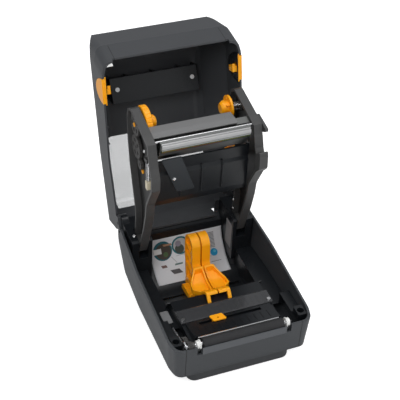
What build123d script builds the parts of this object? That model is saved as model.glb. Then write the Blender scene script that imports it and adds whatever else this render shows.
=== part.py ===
from build123d import *
import math
import os

os.makedirs("parts", exist_ok=True)

# Desktop label printer, drawn with its cover wide open as it stands for a roll change. X runs to the
# right, Y to the back and Z up from the floor. The lower half is drawn where it stands. The cover and the
# ribbon carriage are drawn where they lie when shut, on planes that are swung open about their pivots.
# Side outlines are (back, up) points: distance behind the front face, height over the front rim.

# Where the front rim stands
FRONT_Y = -133.5
RIM_UP = 73.5

# Lower case
CASE_DEPTH = 250.0
CASE_HALF = 101.0
FRONT_HALF = 96.0
REAR_HALF = 95.0
FLARE_BACK = 20.0
WAIST_BACK = 145.0
CASE_UNDER = -50.0
CASE_DRAFT = 3.5
RIM_SLOPE = 0.093
CORNER_RADIUS = 12.0
WALL = 3.0
REAR_FOLD = (250.0, 2.0)
REAR_HEEL = (218.5, -50.0)
HEEL_RADIUS = 8.0
MOULDING_GAP = 0.3
DATA_SOCKET = -80.6
POWER_SOCKET = -69.2

# Foot of the case
PLINTH_HALF = 74.0
PLINTH_FRONT = 7.2
PLINTH_UNDER = -71.5
PLINTH_WALL = 2.5
PLINTH_CORNER = 12.0
FOOT_RADIUS = 8.0
FOOT_PLACES = ((-60.0, 20.0), (60.0, 20.0), (-60.0, 188.0), (60.0, 188.0))

# Front panel and the strip under the roller
PANEL_HALF = 82.3
PANEL_LOW = -47.5
BEZEL_HALF = 60.0
BEZEL_TOP = -1.0
BEZEL_LOW = -12.5

# Media bay
ROLL_AXIS = (168.3, 2.0)
TROUGH_RADIUS = 64.5
TROUGH_WALL = 1.5
TROUGH_HALF = 70.0
TROUGH_REAR_UP = -3.0
DECK_UP = -16.0
DECK_HALF = 66.0
DECK_THICK = 1.5
SIDE_FLOOR_UP = -30.0
SIDE_FLOOR_FRONT = 70.0
STEM_BACK = 157.0
STEM_SLOT = 5.0
STEM_REACH = 62.0

# Pivots of the cover and of the ribbon carriage
HINGE = (244.5, 21.1)
HINGE_PIN_RADIUS = 3.0
CHEEK_RADIUS = 12.0
CHEEK_INNER = 91.3
COVER_OPEN = 107.5
PIVOT = (207.0, 8.0)
PIVOT_PIN_RADIUS = 4.0
PIVOT_BOSS_RADIUS = 12.0
CARRIAGE_OPEN = 77.6
PIN_FIT = 0.05

# Hinge blocks
BLOCK_INNER = 61.5
BLOCK_OUTER = 91.0
BLOCK_FRONT = 192.0
BLOCK_TOP = 27.0
BLOCK_WALL = 2.5
ARM_SLOT_FLOOR = -6.0
ARM_SLOT_BACK = 220.5

# Roller and its drive
PLATEN = (8.5, -1.5)
PLATEN_RADIUS = 7.5
PLATEN_HALF = 57.0
SHAFT_RADIUS = 3.0
SHAFT_LEFT = -82.5
SHAFT_RIGHT = 68.0
BUSH_RADIUS = 5.5
BUSH_FROM = 62.0
BUSH_TO = 66.0
GEAR_MODULE = 0.6
GEAR_LEFT = -78.0
GEAR_RIGHT = -72.0
PLATEN_TEETH = 20
IDLER_TEETH = 47
MOTOR_TEETH = 12
IDLER_DIRECTION = -49.2
MOTOR_DIRECTION = -49.0
AXLE_RADIUS = 2.0
MOTOR_SHAFT_RADIUS = 1.5
MOTOR_RADIUS = 15.0
MOTOR_LEFT = -93.5
FRAME_LEFT = -82.0
FRAME_RIGHT = -80.3
TOOTH_TIP = 0.6
TOOTH_ROOT = 0.9

# Ribbon carriage
PLATE_INNER = 68.0
PLATE_OUTER = 80.0
PLATE_WEB = 3.0
PLATE_RIM = 3.5
TAKE_UP = (26.0, 73.0)
SUPPLY = (82.0, 37.0)
RIBBON_MODULE = 0.8
TAKE_UP_TEETH = 40
RIBBON_IDLER_TEETH = 42
DRIVE_TEETH = 18
HUB_RADIUS = 16.5
PLUNGER_RADIUS = 3.5
PLUNGER_TRAVEL = 8.0
HEAD_TILT_AXIS = (34.0, 20.0)
HEAD_HALF = 62.0
HEAD_GAP = 0.6
GUIDE_ROD = (5.8, 19.2)
GUIDE_ROD_RADIUS = 1.6
GUIDE_ROD_SEAT = 2.0

# Cover
COVER_REAR = 264.0
COVER_WALL = 2.8
RIM_GAP = 0.8
CREASE_UP = 35.0
CREASE_FRONT = -12.0
FACET_START = (-14.0, 91.0)
FACET_END = (40.0, 113.0)
ROOF_UP = 118.5
ROOF_HALF = 70.0
REAR_TAB_HALF = 54.0
REAR_TAB_UP = 17.0
REAR_NOTCH_BACK = 228.0
EXIT_HALF = 84.0
EXIT_UP = 6.5
WINDOW_HALF = 74.0
WINDOW_FRONT = 148.0
WINDOW_LOW = 88.0
WINDOW_SEAT = 0.6
WINDOW_THICK = 2.0

# Keys and latches
KEY_PLACES = (20.0, 38.0, 56.0)
KEY_NAMES = ("power_button", "pause_button", "feed_button")
KEY_RADIUS = 5.2
KEY_GAP = 0.4
LATCH_BACK = 43.0
LATCH_HALF_WIDTH = 18.0
LATCH_HEIGHT = 33.0

# Guide bar over the labels, guide plate, sensor and its slot
GUIDE_HALF = 67.0
GUIDE_BACK = (60.0, 84.0)
GUIDE_UP = (-14.0, -11.5)
GUIDE_SCREW = (63.0, 65.0)
RAMP_REAR = (58.0, -12.0)
RAMP_FRONT = (25.0, -5.0)
RAMP_HALF = 61.5
SENSOR_SLOT = (48.0, 54.0)
SENSOR_REACH = 45.0
SENSOR_PLACE = (-29.0, -7.0)
SENSOR_THICK = 1.6

# Roll holders, their racks and pinion
HOLDER_INNER = 1.0
HOLDER_OUTER = 13.5
HOLDER_FLOAT = 0.4
HOLDER_TOP = (176.5, 16.5)
HOLDER_TOP_RADIUS = 14.0
HOLDER_RIM = 2.4
HOLDER_TRAVEL = 45.0
RACK_MODULE = 1.0
PINION_TEETH = 14
RACK_UP = (-68.3, -65.3)
STEM_FROM = 9.6
STEM_TO = 13.2

# Hubs, wheels and small parts of the ribbon carriage
RIBBON_GEAR_LEFT = -76.0
RIBBON_GEAR_RIGHT = -72.0
LEVER_PIVOT = (13.5, 24.0)
SPRING_FOOT = (36.0, 15.5)
SPRING_HEAD = (64.0, 6.0)
SUPPORT_HALF = PLATE_INNER - 0.1
TRAY_HALF = PLATE_INNER - 0.4
FLAP_FRONT = (-61.0, -33.0, 28.0)
FLAP_REAR = (-37.0, -12.0, 86.0)
HUB_BODY_RADIUS = 9.0
CORE_RADIUS = 12.4
HUB_FACE = 60.0
HUB_NOSE = 46.0
PLUNGER_LEFT = 48.0
PLUNGER_RIGHT = 81.5
SPRING_RADIUS = 4.9
SPRING_WIRE = 0.55
SPRING_ROOM = 1.0
WHEEL_RADIUS = 24.0
WHEEL_LEFT = -66.0
WHEEL_RIGHT = -57.0
RIBBON_SHAFT_RADIUS = 3.0

# Inner plate, lens and key panel of the cover
LENS_PLACE = (-89.0, 8.0)
LENS_RADIUS = 4.6
INNER_PLATE_HALF = 66.0
INNER_PLATE_FRONT = (55.0, 95.5)
INNER_PLATE_REAR = (90.0, 85.0)
INNER_PLATE_THICK = 2.5
COVER_SCREW = (57.0, 71.0)
PANEL_SIZE = (62.0, 22.0)

BASE = Location()


def turned(pivot, degrees):
    """Placement that turns things about an axis along X through a (back, up) point."""
    y, z = at(*pivot)
    return Location((0, y, z)) * Location((0, 0, 0), (degrees, 0, 0)) * Location((0, -y, -z))


def at(back, up):
    """Model Y and Z of a (back, up) point."""
    return (FRONT_Y + back, RIM_UP + up)


COVER = turned(HINGE, -COVER_OPEN)
CARRIAGE = turned(PIVOT, -CARRIAGE_OPEN)


def set_in(frame, plane):
    """The plane carried along with the cover, the carriage or the base."""
    return Plane(frame * plane.location)


def rim(back, gap=0.0):
    """Height of the sloping rim at a distance behind the front face."""
    return RIM_SLOPE * back + gap


def polar(center, radius, degrees):
    """(back, up) point on a circle, the angle counted from straight back towards up."""
    angle = math.radians(degrees)
    return (center[0] + radius * math.cos(angle), center[1] + radius * math.sin(angle))


def rounded_outline(points, rounding=0, shrink=0.0):
    """Flat sketch through the points, its corners rounded by one radius or a list, then drawn in."""
    radii = rounding if isinstance(rounding, list) else [rounding] * len(points)
    with BuildSketch() as outline:
        with BuildLine():
            Polyline(*points, close=True)
        make_face()
        for point, radius in zip(points, radii):
            if radius:
                fillet(outline.vertices().sort_by_distance((*point, 0))[0], radius)
        if shrink:
            offset(amount=-shrink, kind=Kind.INTERSECTION)
    return outline.sketch


def side_sketch(points, rounding=0, shrink=0.0):
    """Side outline, given as (back, up) points, as a flat sketch."""
    return rounded_outline([at(*point) for point in points], rounding, shrink)


def plan_sketch(points, rounding=0, shrink=0.0):
    """Outline from above, given as (X, back) points, as a flat sketch."""
    return rounded_outline([(x, FRONT_Y + back) for x, back in points], rounding, shrink)


def side_prism(points, x_from, x_to, rounding=0, frame=BASE, mode=Mode.ADD):
    """Side outline extruded across the printer from one X to another."""
    with BuildSketch(set_in(frame, Plane.YZ.offset(x_from))) as outline:
        add(side_sketch(points, rounding))
    extrude(outline.sketch, amount=x_to - x_from, mode=mode)


def side_rod(center, radius, x_from, x_to, frame=BASE, mode=Mode.ADD):
    """Cylinder along X round a (back, up) point."""
    with BuildSketch(set_in(frame, Plane.YZ.offset(x_from))) as disc:
        with Locations(at(*center)):
            Circle(radius)
    extrude(disc.sketch, amount=x_to - x_from, mode=mode)


def block(x_span, back_span, up_span, frame=BASE, mode=Mode.ADD):
    """Box between two values in each direction."""
    points = [(back_span[0], up_span[0]), (back_span[1], up_span[0]),
              (back_span[1], up_span[1]), (back_span[0], up_span[1])]
    side_prism(points, x_span[0], x_span[1], 0, frame, mode)


def post(x, back, radius, up_span, frame=BASE, mode=Mode.ADD):
    """Upright cylinder between two heights."""
    with BuildSketch(set_in(frame, Plane.XY.offset(RIM_UP + up_span[0]))) as disc:
        with Locations((x, FRONT_Y + back)):
            Circle(radius)
    extrude(disc.sketch, amount=up_span[1] - up_span[0], mode=mode)


def finish(builder, name):
    """Name a finished piece and write it."""
    builder.part.label = name
    export_step(builder.part, f"parts/{name}.step")


# Mouldings of the case and the cover

def plan(front, rear, draw_in=0.0):
    """Outline from above: straight front, flared cheeks, sides that close in behind the waist."""
    closing = (CASE_HALF - REAR_HALF) / (CASE_DEPTH - WAIST_BACK)
    rear_half = CASE_HALF - draw_in - closing * (rear - WAIST_BACK)
    right = [(FRONT_HALF - draw_in, front), (CASE_HALF - draw_in, front + FLARE_BACK),
             (CASE_HALF - draw_in, WAIST_BACK), (rear_half, rear)]
    left = [(-x, back) for x, back in reversed(right)]
    radii = [CORNER_RADIUS, 40, 300, 8]
    return plan_sketch(right + left, radii + radii[::-1])


def case_form(inset, rim_lift):
    """Solid inside the case's outline, drawn in by the inset and cut off at the rim."""
    with BuildPart() as form:
        for up, front, draft in ((CASE_UNDER - 1, 1.8, CASE_DRAFT), (0, 0, 0), (60, 0, 0)):
            with BuildSketch(Plane.XY.offset(RIM_UP + up)):
                add(plan(front + inset, CASE_DEPTH - inset, draft + inset))
        loft(ruled=True)
        outline = [(-20, CASE_UNDER), (-20, rim(-20) + rim_lift), (CASE_DEPTH, rim(CASE_DEPTH) + rim_lift),
                   REAR_FOLD, REAR_HEEL]
        with BuildSketch(Plane.YZ.offset(-CASE_HALF - 5)) as trim:
            add(side_sketch(outline, [0, 0, 0, 3, HEEL_RADIUS], inset))
        extrude(trim.sketch, amount=2 * CASE_HALF + 10, mode=Mode.INTERSECT)
    return form.part


def cover_form(inset, lower_edge):
    """Solid inside the shut cover's outline, drawn in by the inset, down to the given lower edge."""
    lean = (2.0 - CREASE_FRONT) / (CREASE_UP - RIM_GAP)
    with BuildPart() as form:
        sections = ((-10, CREASE_FRONT + lean * (CREASE_UP + 10)), (CREASE_UP, CREASE_FRONT), (125, -15.2))
        for up, front in sections:
            with BuildSketch(set_in(COVER, Plane.XY.offset(RIM_UP + up))):
                add(plan(front + inset, COVER_REAR - inset, inset))
        loft(ruled=True)
        slope = (FACET_END[1] - FACET_START[1]) / (FACET_END[0] - FACET_START[0])
        outline = lower_edge + [(COVER_REAR, 70), (247, 103), (200, ROOF_UP), (78, ROOF_UP), FACET_END,
                                (-30, FACET_START[1] - slope * (FACET_START[0] + 30))]
        rounding = [0] * len(lower_edge) + [40, 34, 60, 120, 40, 0]
        with BuildSketch(set_in(COVER, Plane.YZ.offset(-CASE_HALF - 5))) as trim:
            add(side_sketch(outline, rounding, inset))
        extrude(trim.sketch, amount=2 * CASE_HALF + 10, mode=Mode.INTERSECT)
        right = [(CASE_HALF + 4, -20), (CASE_HALF + 4, 45), (80, 106), (ROOF_HALF, ROOF_UP)]
        gable_points = [(x, RIM_UP + up) for x, up in right] + [(-x, RIM_UP + up) for x, up in reversed(right)]
        with BuildSketch(set_in(COVER, Plane.XZ.offset(-FRONT_Y - COVER_REAR - 20))) as gable:
            add(rounded_outline(gable_points, [0, 40, 10, 12, 12, 10, 40, 0], inset))
        extrude(gable.sketch, amount=COVER_REAR + 60, mode=Mode.INTERSECT)
    return form.part


# Wheels and coils

def gear(center, teeth, module, x_from, x_to, phase, bore=0.0, frame=BASE):
    """Spur gear with short straight-sided teeth, one tooth at the phase (in teeth) behind the centre."""
    pitch_radius = teeth * module / 2
    points = []
    for tooth in range(teeth):
        for depth, share in ((-TOOTH_ROOT, -0.30), (TOOTH_TIP, -0.14), (TOOTH_TIP, 0.14), (-TOOTH_ROOT, 0.30)):
            degrees = 360 / teeth * (tooth + phase + share)
            points.append(at(*polar(center, pitch_radius + depth * module, degrees)))
    with BuildSketch(set_in(frame, Plane.YZ.offset(x_from))) as face:
        with BuildLine():
            Polyline(*points, close=True)
        make_face()
        if bore:
            with Locations(at(*center)):
                Circle(bore, mode=Mode.SUBTRACT)
    extrude(face.sketch, amount=x_to - x_from)


def meshing_phase(phase, teeth, next_teeth, direction):
    """Phase of the next gear, which lies in the given direction, so that its gap takes the tooth."""
    own = direction / 360 * teeth - phase
    return (direction + 180) / 360 * next_teeth - 0.5 + own


def gear_distance(teeth, next_teeth, module):
    """Distance between the centres of two meshing gears."""
    return (teeth + next_teeth) * module / 2


def coil(axis, radius, wire, length, turns, name):
    """One unbroken round wire wound about the plane's axis, each quarter turn a pair of tangent arcs."""
    rise = length / turns

    def on_helix(quarter):
        angle = math.pi / 2 * quarter
        return axis.from_local_coords(Vector(radius * math.cos(angle), radius * math.sin(angle), rise * quarter / 4))

    def heading(quarter):
        angle = math.pi / 2 * quarter
        ahead = Vector(-radius * math.sin(angle), radius * math.cos(angle), rise / (2 * math.pi))
        return (axis.from_local_coords(ahead) - axis.origin).normalized()

    with BuildLine() as path:
        for quarter in range(4 * turns):
            start, end = on_helix(quarter), on_helix(quarter + 1)
            leave, arrive = heading(quarter), heading(quarter + 1)
            chord, both = end - start, leave + arrive
            spread = 2 * (1 - leave.dot(arrive))
            reach = (math.sqrt(chord.dot(both) ** 2 + spread * chord.dot(chord)) - chord.dot(both)) / spread
            joint = (start + end + (leave - arrive) * reach) * 0.5
            first = TangentArc(start, joint, tangent=leave)
            TangentArc(joint, end, tangent=first % 1)
    with BuildPart() as winding:
        with BuildSketch(Plane(origin=on_helix(0), z_dir=heading(0))):
            Circle(wire)
        sweep(path=path.line)
    samples = [on_helix(step / 4) for step in range(16 * turns + 1)]
    gap = min((a - b).length for i, a in enumerate(samples) for b in samples[i + 8:]) - 2 * wire
    print(f"{name}: {turns} turns, least gap to itself {gap:.2f} mm")
    return winding.part


# Lower case: a tub with a sloping rim, open in front for the panel and below for the media bay

outer_case = case_form(0, 0)
inside_case = case_form(WALL, 60)
clear_inside = case_form(WALL + MOULDING_GAP, 60)
bay_drop = math.sqrt((TROUGH_RADIUS + TROUGH_WALL) ** 2 - (ROLL_AXIS[1] - CASE_UNDER - WALL) ** 2)
bay_span = (ROLL_AXIS[0] - bay_drop - 2, ROLL_AXIS[0] + bay_drop + 2)

with BuildPart() as base_case:
    add(outer_case)
    add(inside_case, mode=Mode.SUBTRACT)
    block((-PANEL_HALF - MOULDING_GAP, PANEL_HALF + MOULDING_GAP), (-5, WALL + 3), (PANEL_LOW - MOULDING_GAP, 20),
          mode=Mode.SUBTRACT)
    block((-TROUGH_HALF - MOULDING_GAP, TROUGH_HALF + MOULDING_GAP), bay_span, (CASE_UNDER - 5, CASE_UNDER + WALL + 1),
          mode=Mode.SUBTRACT)
    for end in (-1, 1):
        side_rod(HINGE, CHEEK_RADIUS + 1.5, end * (PLATE_OUTER + 0.7), end * 120, mode=Mode.SUBTRACT)
    block((-REAR_TAB_HALF - 1.5, REAR_TAB_HALF + 1.5), (REAR_NOTCH_BACK, 260), (-5, 40), mode=Mode.SUBTRACT)
    rear_face = Plane(origin=(0, *at(234.25, -24)), x_dir=(-1, 0, 0),
                      z_dir=(0, REAR_FOLD[1] - REAR_HEEL[1], REAR_HEEL[0] - REAR_FOLD[0]))
    with BuildSketch(rear_face) as socket_holes:
        with Locations((DATA_SOCKET, -3)):
            RectangleRounded(12.6, 11.4, 1)
        with Locations((POWER_SOCKET, -3)):
            Circle(5.2)
    extrude(socket_holes.sketch, amount=5, both=True, mode=Mode.SUBTRACT)
finish(base_case, "base_case")

with BuildPart() as front_panel:
    add(outer_case)
    add(inside_case, mode=Mode.SUBTRACT)
    block((-PANEL_HALF, PANEL_HALF), (-5, WALL + 2.5), (PANEL_LOW, 20), mode=Mode.INTERSECT)
    block((-BUSH_TO - 1, BUSH_TO + 1), (-5, 10), (BEZEL_LOW, 20), mode=Mode.SUBTRACT)
    platen_tip = (PLATEN_TEETH / 2 + TOOTH_TIP) * GEAR_MODULE
    side_rod(PLATEN, platen_tip + 0.5, GEAR_LEFT - 1, GEAR_RIGHT + 1, mode=Mode.SUBTRACT)
    for rib in (-40, 0, 40):
        block((rib - 1, rib + 1), (WALL - 0.1, WALL + 3), (PANEL_LOW + 1, BEZEL_LOW - 3))
finish(front_panel, "front_panel")

with BuildPart() as front_bezel:
    lip = [(-0.8, BEZEL_LOW), (-0.8, BEZEL_TOP), (0.4, BEZEL_TOP), (0.4, BEZEL_LOW + 1.6), (9, BEZEL_LOW + 1.6),
           (9, BEZEL_LOW)]
    side_prism(lip, -BEZEL_HALF, BEZEL_HALF)
finish(front_bezel, "front_bezel")

with BuildPart() as bottom_cover:
    plinth_rear = REAR_HEEL[0] - 0.5
    for shrink, mode in ((0, Mode.ADD), (PLINTH_WALL, Mode.SUBTRACT)):
        with BuildSketch(Plane.XY.offset(RIM_UP + PLINTH_UNDER + shrink)) as foot_plan:
            with Locations((0, FRONT_Y + (PLINTH_FRONT + plinth_rear) / 2)):
                RectangleRounded(2 * (PLINTH_HALF - shrink), plinth_rear - PLINTH_FRONT - 2 * shrink,
                                 PLINTH_CORNER - shrink)
        extrude(foot_plan.sketch, amount=CASE_UNDER - PLINTH_UNDER - (0 if mode == Mode.ADD else shrink), mode=mode)
        if mode == Mode.ADD:
            fillet(bottom_cover.faces().sort_by(Axis.Z)[0].edges(), 3)
            foot_heel = [(plinth_rear + 5, CASE_UNDER + 0.1), (plinth_rear, CASE_UNDER + 0.1), (200, PLINTH_UNDER - 1),
                         (plinth_rear + 5, PLINTH_UNDER - 1)]
            side_prism(foot_heel, -CASE_HALF, CASE_HALF, mode=Mode.SUBTRACT)
    with BuildSketch(Plane.YZ.offset(-PLINTH_HALF + PLINTH_WALL)) as heel_wall:
        add(side_sketch([(plinth_rear - 0.4, CASE_UNDER), (200.3, PLINTH_UNDER + 0.5), (196.5, PLINTH_UNDER + 0.5),
                         (plinth_rear - 4.2, CASE_UNDER)]))
    extrude(heel_wall.sketch, amount=2 * (PLINTH_HALF - PLINTH_WALL))
    post(0, STEM_BACK, AXLE_RADIUS, (PLINTH_UNDER + PLINTH_WALL, PLINTH_UNDER + 6.6))
    for x, back in ((-50, 20), (50, 20), (-50, 112), (50, 112)):
        post(x, back, 3, (PLINTH_UNDER + PLINTH_WALL, PLINTH_UNDER + 5.5))
finish(bottom_cover, "bottom_cover")

with BuildPart() as rubber_feet:
    for x, back in FOOT_PLACES:
        post(x, back, FOOT_RADIUS, (-RIM_UP, PLINTH_UNDER))
    chamfer(rubber_feet.edges().filter_by(GeomType.CIRCLE).group_by(Axis.Z)[0], 0.6)
finish(rubber_feet, "rubber_feet")

# Media bay: curved trough for the roll, deck in front of it, floors beside it

trough_front_angle = 180 + math.degrees(math.asin((ROLL_AXIS[1] - DECK_UP) / TROUGH_RADIUS))
trough_rear_angle = 360 - math.degrees(math.asin((ROLL_AXIS[1] - TROUGH_REAR_UP) / TROUGH_RADIUS))
deck_rear = polar(ROLL_AXIS, TROUGH_RADIUS, trough_front_angle)[0]
socket_span = (83.0, 95.5)
platform_up = -12.0

with BuildPart() as clear_column:
    add(clear_inside)
    block((-TROUGH_HALF, TROUGH_HALF), bay_span, (CASE_UNDER - 20, CASE_UNDER + WALL + 1))
clear_inside_below = clear_column.part

with BuildPart() as media_bay:
    with BuildSketch(Plane.YZ.offset(-TROUGH_HALF)) as trough:
        with BuildLine():
            inner_arc = CenterArc(at(*ROLL_AXIS), TROUGH_RADIUS, trough_front_angle,
                                  trough_rear_angle - trough_front_angle)
            outer_arc = CenterArc(at(*ROLL_AXIS), TROUGH_RADIUS + TROUGH_WALL, trough_front_angle,
                                  trough_rear_angle - trough_front_angle)
            Line(inner_arc @ 0, outer_arc @ 0)
            Line(inner_arc @ 1, outer_arc @ 1)
        make_face()
    extrude(trough.sketch, amount=2 * TROUGH_HALF)
    for end in (-1, 1):
        block((end * BLOCK_INNER - end * MOULDING_GAP, end * 80), (BLOCK_FRONT - MOULDING_GAP, 250), (-70, 10),
              mode=Mode.SUBTRACT)
        wall_drop = ROLL_AXIS[1] - SIDE_FLOOR_UP
        wall_reach = math.sqrt(TROUGH_RADIUS ** 2 - wall_drop ** 2)
        with BuildSketch(Plane.YZ.offset(end * TROUGH_HALF)) as end_wall:
            with BuildLine():
                front_end = at(ROLL_AXIS[0] - wall_reach - 1, SIDE_FLOOR_UP)
                rear_end = at(BLOCK_FRONT - MOULDING_GAP, SIDE_FLOOR_UP)
                rear_low = at(BLOCK_FRONT - MOULDING_GAP, ROLL_AXIS[1] - math.sqrt(
                    (TROUGH_RADIUS + 1) ** 2 - (BLOCK_FRONT - ROLL_AXIS[0]) ** 2))
                lowest = at(ROLL_AXIS[0], ROLL_AXIS[1] - TROUGH_RADIUS - 1)
                Line(front_end, rear_end)
                Line(rear_end, rear_low)
                ThreePointArc(rear_low, lowest, front_end)
            make_face()
        extrude(end_wall.sketch, amount=-end * 2)
        block((end * (TROUGH_HALF - 2), end * 100), (SIDE_FLOOR_FRONT, BLOCK_FRONT - MOULDING_GAP),
              (SIDE_FLOOR_UP - 1.5, SIDE_FLOOR_UP))
        block((end * (DECK_HALF - 1.5), end * (TROUGH_HALF - 1.9)), (SIDE_FLOOR_FRONT, 116),
              (SIDE_FLOOR_UP - 1.5, SIDE_FLOOR_UP))
        skirt = [(SIDE_FLOOR_FRONT - 30, SIDE_FLOOR_UP), (SIDE_FLOOR_FRONT - 30, DECK_UP),
                 (deck_rear - 0.5, DECK_UP), (ROLL_AXIS[0] - wall_reach - 0.7, SIDE_FLOOR_UP)]
        side_prism(skirt, end * DECK_HALF, end * (DECK_HALF - 1.5))
        block((end * (PLATE_OUTER + 2.5), end * 100), (33, SIDE_FLOOR_FRONT + 1.5), (platform_up - 1.5, platform_up))
        block((end * (PLATE_OUTER + 2.5), end * 100), (SIDE_FLOOR_FRONT, SIDE_FLOOR_FRONT + 1.5),
              (SIDE_FLOOR_UP - 1, platform_up))
        stand = [(3.4, DECK_UP - DECK_THICK), (3.4, -4), (4, -1.5), (14, -1.5), (17, DECK_UP + 0.1),
                 (17, DECK_UP - DECK_THICK)]
        side_prism(stand, end * BUSH_FROM, end * (BUSH_TO + 0.3))
        side_rod(PLATEN, BUSH_RADIUS + PIN_FIT, end * (BUSH_FROM - 1), end * (BUSH_TO + 1), mode=Mode.SUBTRACT)
    block((-DECK_HALF, DECK_HALF), (14, deck_rear), (DECK_UP - DECK_THICK, DECK_UP))
    block((-STEM_REACH, STEM_REACH), (STEM_BACK - STEM_SLOT / 2, STEM_BACK + STEM_SLOT / 2), (-70, -50),
          mode=Mode.SUBTRACT)
    add(clear_inside_below, mode=Mode.INTERSECT)
finish(media_bay, "media_bay")

# Guide bar over the labels, guide plate with the sensor slot, tear bar


with BuildPart() as guide_bar:
    guide_section = [(GUIDE_BACK[0], GUIDE_UP[0]), (GUIDE_BACK[1], GUIDE_UP[0]), (GUIDE_BACK[1], GUIDE_UP[1] - 0.8),
                     (GUIDE_BACK[1] - 2, GUIDE_UP[1]), (GUIDE_BACK[0] + 1, GUIDE_UP[1]),
                     (GUIDE_BACK[0], GUIDE_UP[1] - 0.8)]
    side_prism(guide_section, -GUIDE_HALF, GUIDE_HALF)
    for tick in range(-6, 7):
        block((tick * 8 - 0.4, tick * 8 + 0.4), (GUIDE_BACK[0] + 4, GUIDE_BACK[1] - 7),
              (GUIDE_UP[1] - 0.1, GUIDE_UP[1] + 0.4))
    for end in (-1, 1):
        block((end * 57, end * (DECK_HALF - 0.5)), (GUIDE_BACK[0] + 1, GUIDE_BACK[1] - 1), (DECK_UP, GUIDE_UP[0] + 0.1))
        post(end * GUIDE_SCREW[0], GUIDE_SCREW[1], 1.3, (DECK_UP - 1, 0), mode=Mode.SUBTRACT)
finish(guide_bar, "guide_bar")

with BuildPart() as guide_bar_screws:
    for end in (-1, 1):
        post(end * GUIDE_SCREW[0], GUIDE_SCREW[1], 2.6, (GUIDE_UP[1], GUIDE_UP[1] + 1.4))
        post(end * GUIDE_SCREW[0], GUIDE_SCREW[1], 1.3 - PIN_FIT, (DECK_UP + 0.1, GUIDE_UP[1]))
finish(guide_bar_screws, "guide_bar_screws")


def ramp(back, over=0.0):
    """Height of the guide plate at a distance behind the front face."""
    share = (back - RAMP_FRONT[0]) / (RAMP_REAR[0] - RAMP_FRONT[0])
    return RAMP_FRONT[1] + share * (RAMP_REAR[1] - RAMP_FRONT[1]) + over


with BuildPart() as guide_plate:
    ramp_section = [(24, DECK_UP), (24, ramp(24)), (RAMP_REAR[0], ramp(RAMP_REAR[0])), (RAMP_REAR[0], DECK_UP),
                    (RAMP_REAR[0] - 1.5, DECK_UP), (RAMP_REAR[0] - 1.5, ramp(RAMP_REAR[0], -1.6)),
                    (25.5, ramp(25.5, -1.6)), (25.5, DECK_UP)]
    side_prism(ramp_section, -RAMP_HALF, RAMP_HALF)
    ramp_end = [(24, DECK_UP), (24, ramp(24)), (RAMP_REAR[0], ramp(RAMP_REAR[0])), (RAMP_REAR[0], DECK_UP)]
    for end in (-1, 1):
        side_prism(ramp_end, end * RAMP_HALF, end * (RAMP_HALF - 1.5))
    for tick in range(-5, 6):
        rib = [(29, ramp(29, -0.2)), (29, ramp(29, 0.5)), (44, ramp(44, 0.5)), (44, ramp(44, -0.2))]
        side_prism(rib, tick * 10 - 0.5, tick * 10 + 0.5)
    block((-SENSOR_REACH, SENSOR_REACH), SENSOR_SLOT, (DECK_UP + 1, 0), mode=Mode.SUBTRACT)
finish(guide_plate, "guide_plate")

with BuildPart() as tear_bar:
    blade = [(21.6, ramp(24, -1.6)), (23.7, ramp(24, -1.6)), (23.7, ramp(24, 0.3)), (22.6, ramp(24, 0.9)),
             (21.6, ramp(24, 0.3))]
    side_prism(blade, -PLATEN_HALF - 1, PLATEN_HALF + 1)
    for end in (-1, 1):
        foot_outline = [(21.6, DECK_UP), (23.7, DECK_UP), (23.7, ramp(24, -1)), (21.6, ramp(24, -1))]
        side_prism(foot_outline, end * (PLATEN_HALF + 1), end * (PLATEN_HALF - 5))
finish(tear_bar, "tear_bar")


with BuildPart() as media_sensor:
    slide_gap = 0.8
    with BuildSketch(Plane.XY.offset(RIM_UP + ramp(45, slide_gap))) as cap:
        skewed = [(SENSOR_PLACE[0] + 3.5, 46), (SENSOR_PLACE[1], 46), (SENSOR_PLACE[1] - 3.5, 57),
                  (SENSOR_PLACE[0], 57)]
        add(plan_sketch(skewed, 1.5))
    extrude(cap.sketch, amount=SENSOR_THICK)
    sensor_mid = (SENSOR_PLACE[0] + SENSOR_PLACE[1]) / 2
    post(sensor_mid, 51, 1.2, (DECK_UP, 0), mode=Mode.SUBTRACT)
    for end in (-1, 1):
        block((sensor_mid + end * 3, sensor_mid + end * 7), (SENSOR_SLOT[0] + 0.3, SENSOR_SLOT[1] - 0.3),
              (DECK_UP + 0.3, ramp(45, slide_gap) + 0.1))
    for end in (-1, 1):
        block((sensor_mid + end * 3, sensor_mid + end * 7), (SENSOR_SLOT[0] - 2, SENSOR_SLOT[1] + 2),
              (DECK_UP + 0.3, DECK_UP + 1.8))
finish(media_sensor, "media_sensor")

# Roller on its shaft, bushes, and the wheels that drive it

idler_center = polar(PLATEN, gear_distance(PLATEN_TEETH, IDLER_TEETH, GEAR_MODULE), IDLER_DIRECTION)
motor_center = polar(idler_center, gear_distance(IDLER_TEETH, MOTOR_TEETH, GEAR_MODULE), MOTOR_DIRECTION)
idler_phase = meshing_phase(0, PLATEN_TEETH, IDLER_TEETH, IDLER_DIRECTION)
motor_phase = meshing_phase(idler_phase, IDLER_TEETH, MOTOR_TEETH, MOTOR_DIRECTION)

with BuildPart() as platen_roller:
    side_rod(PLATEN, PLATEN_RADIUS, -PLATEN_HALF, PLATEN_HALF)
    side_rod(PLATEN, SHAFT_RADIUS, -PLATEN_HALF - 1, PLATEN_HALF + 1, mode=Mode.SUBTRACT)
finish(platen_roller, "platen_roller")

with BuildPart() as platen_shaft:
    side_rod(PLATEN, SHAFT_RADIUS, SHAFT_LEFT, SHAFT_RIGHT)
    chamfer(platen_shaft.edges().filter_by(GeomType.CIRCLE), 0.5)
finish(platen_shaft, "platen_shaft")

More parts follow.
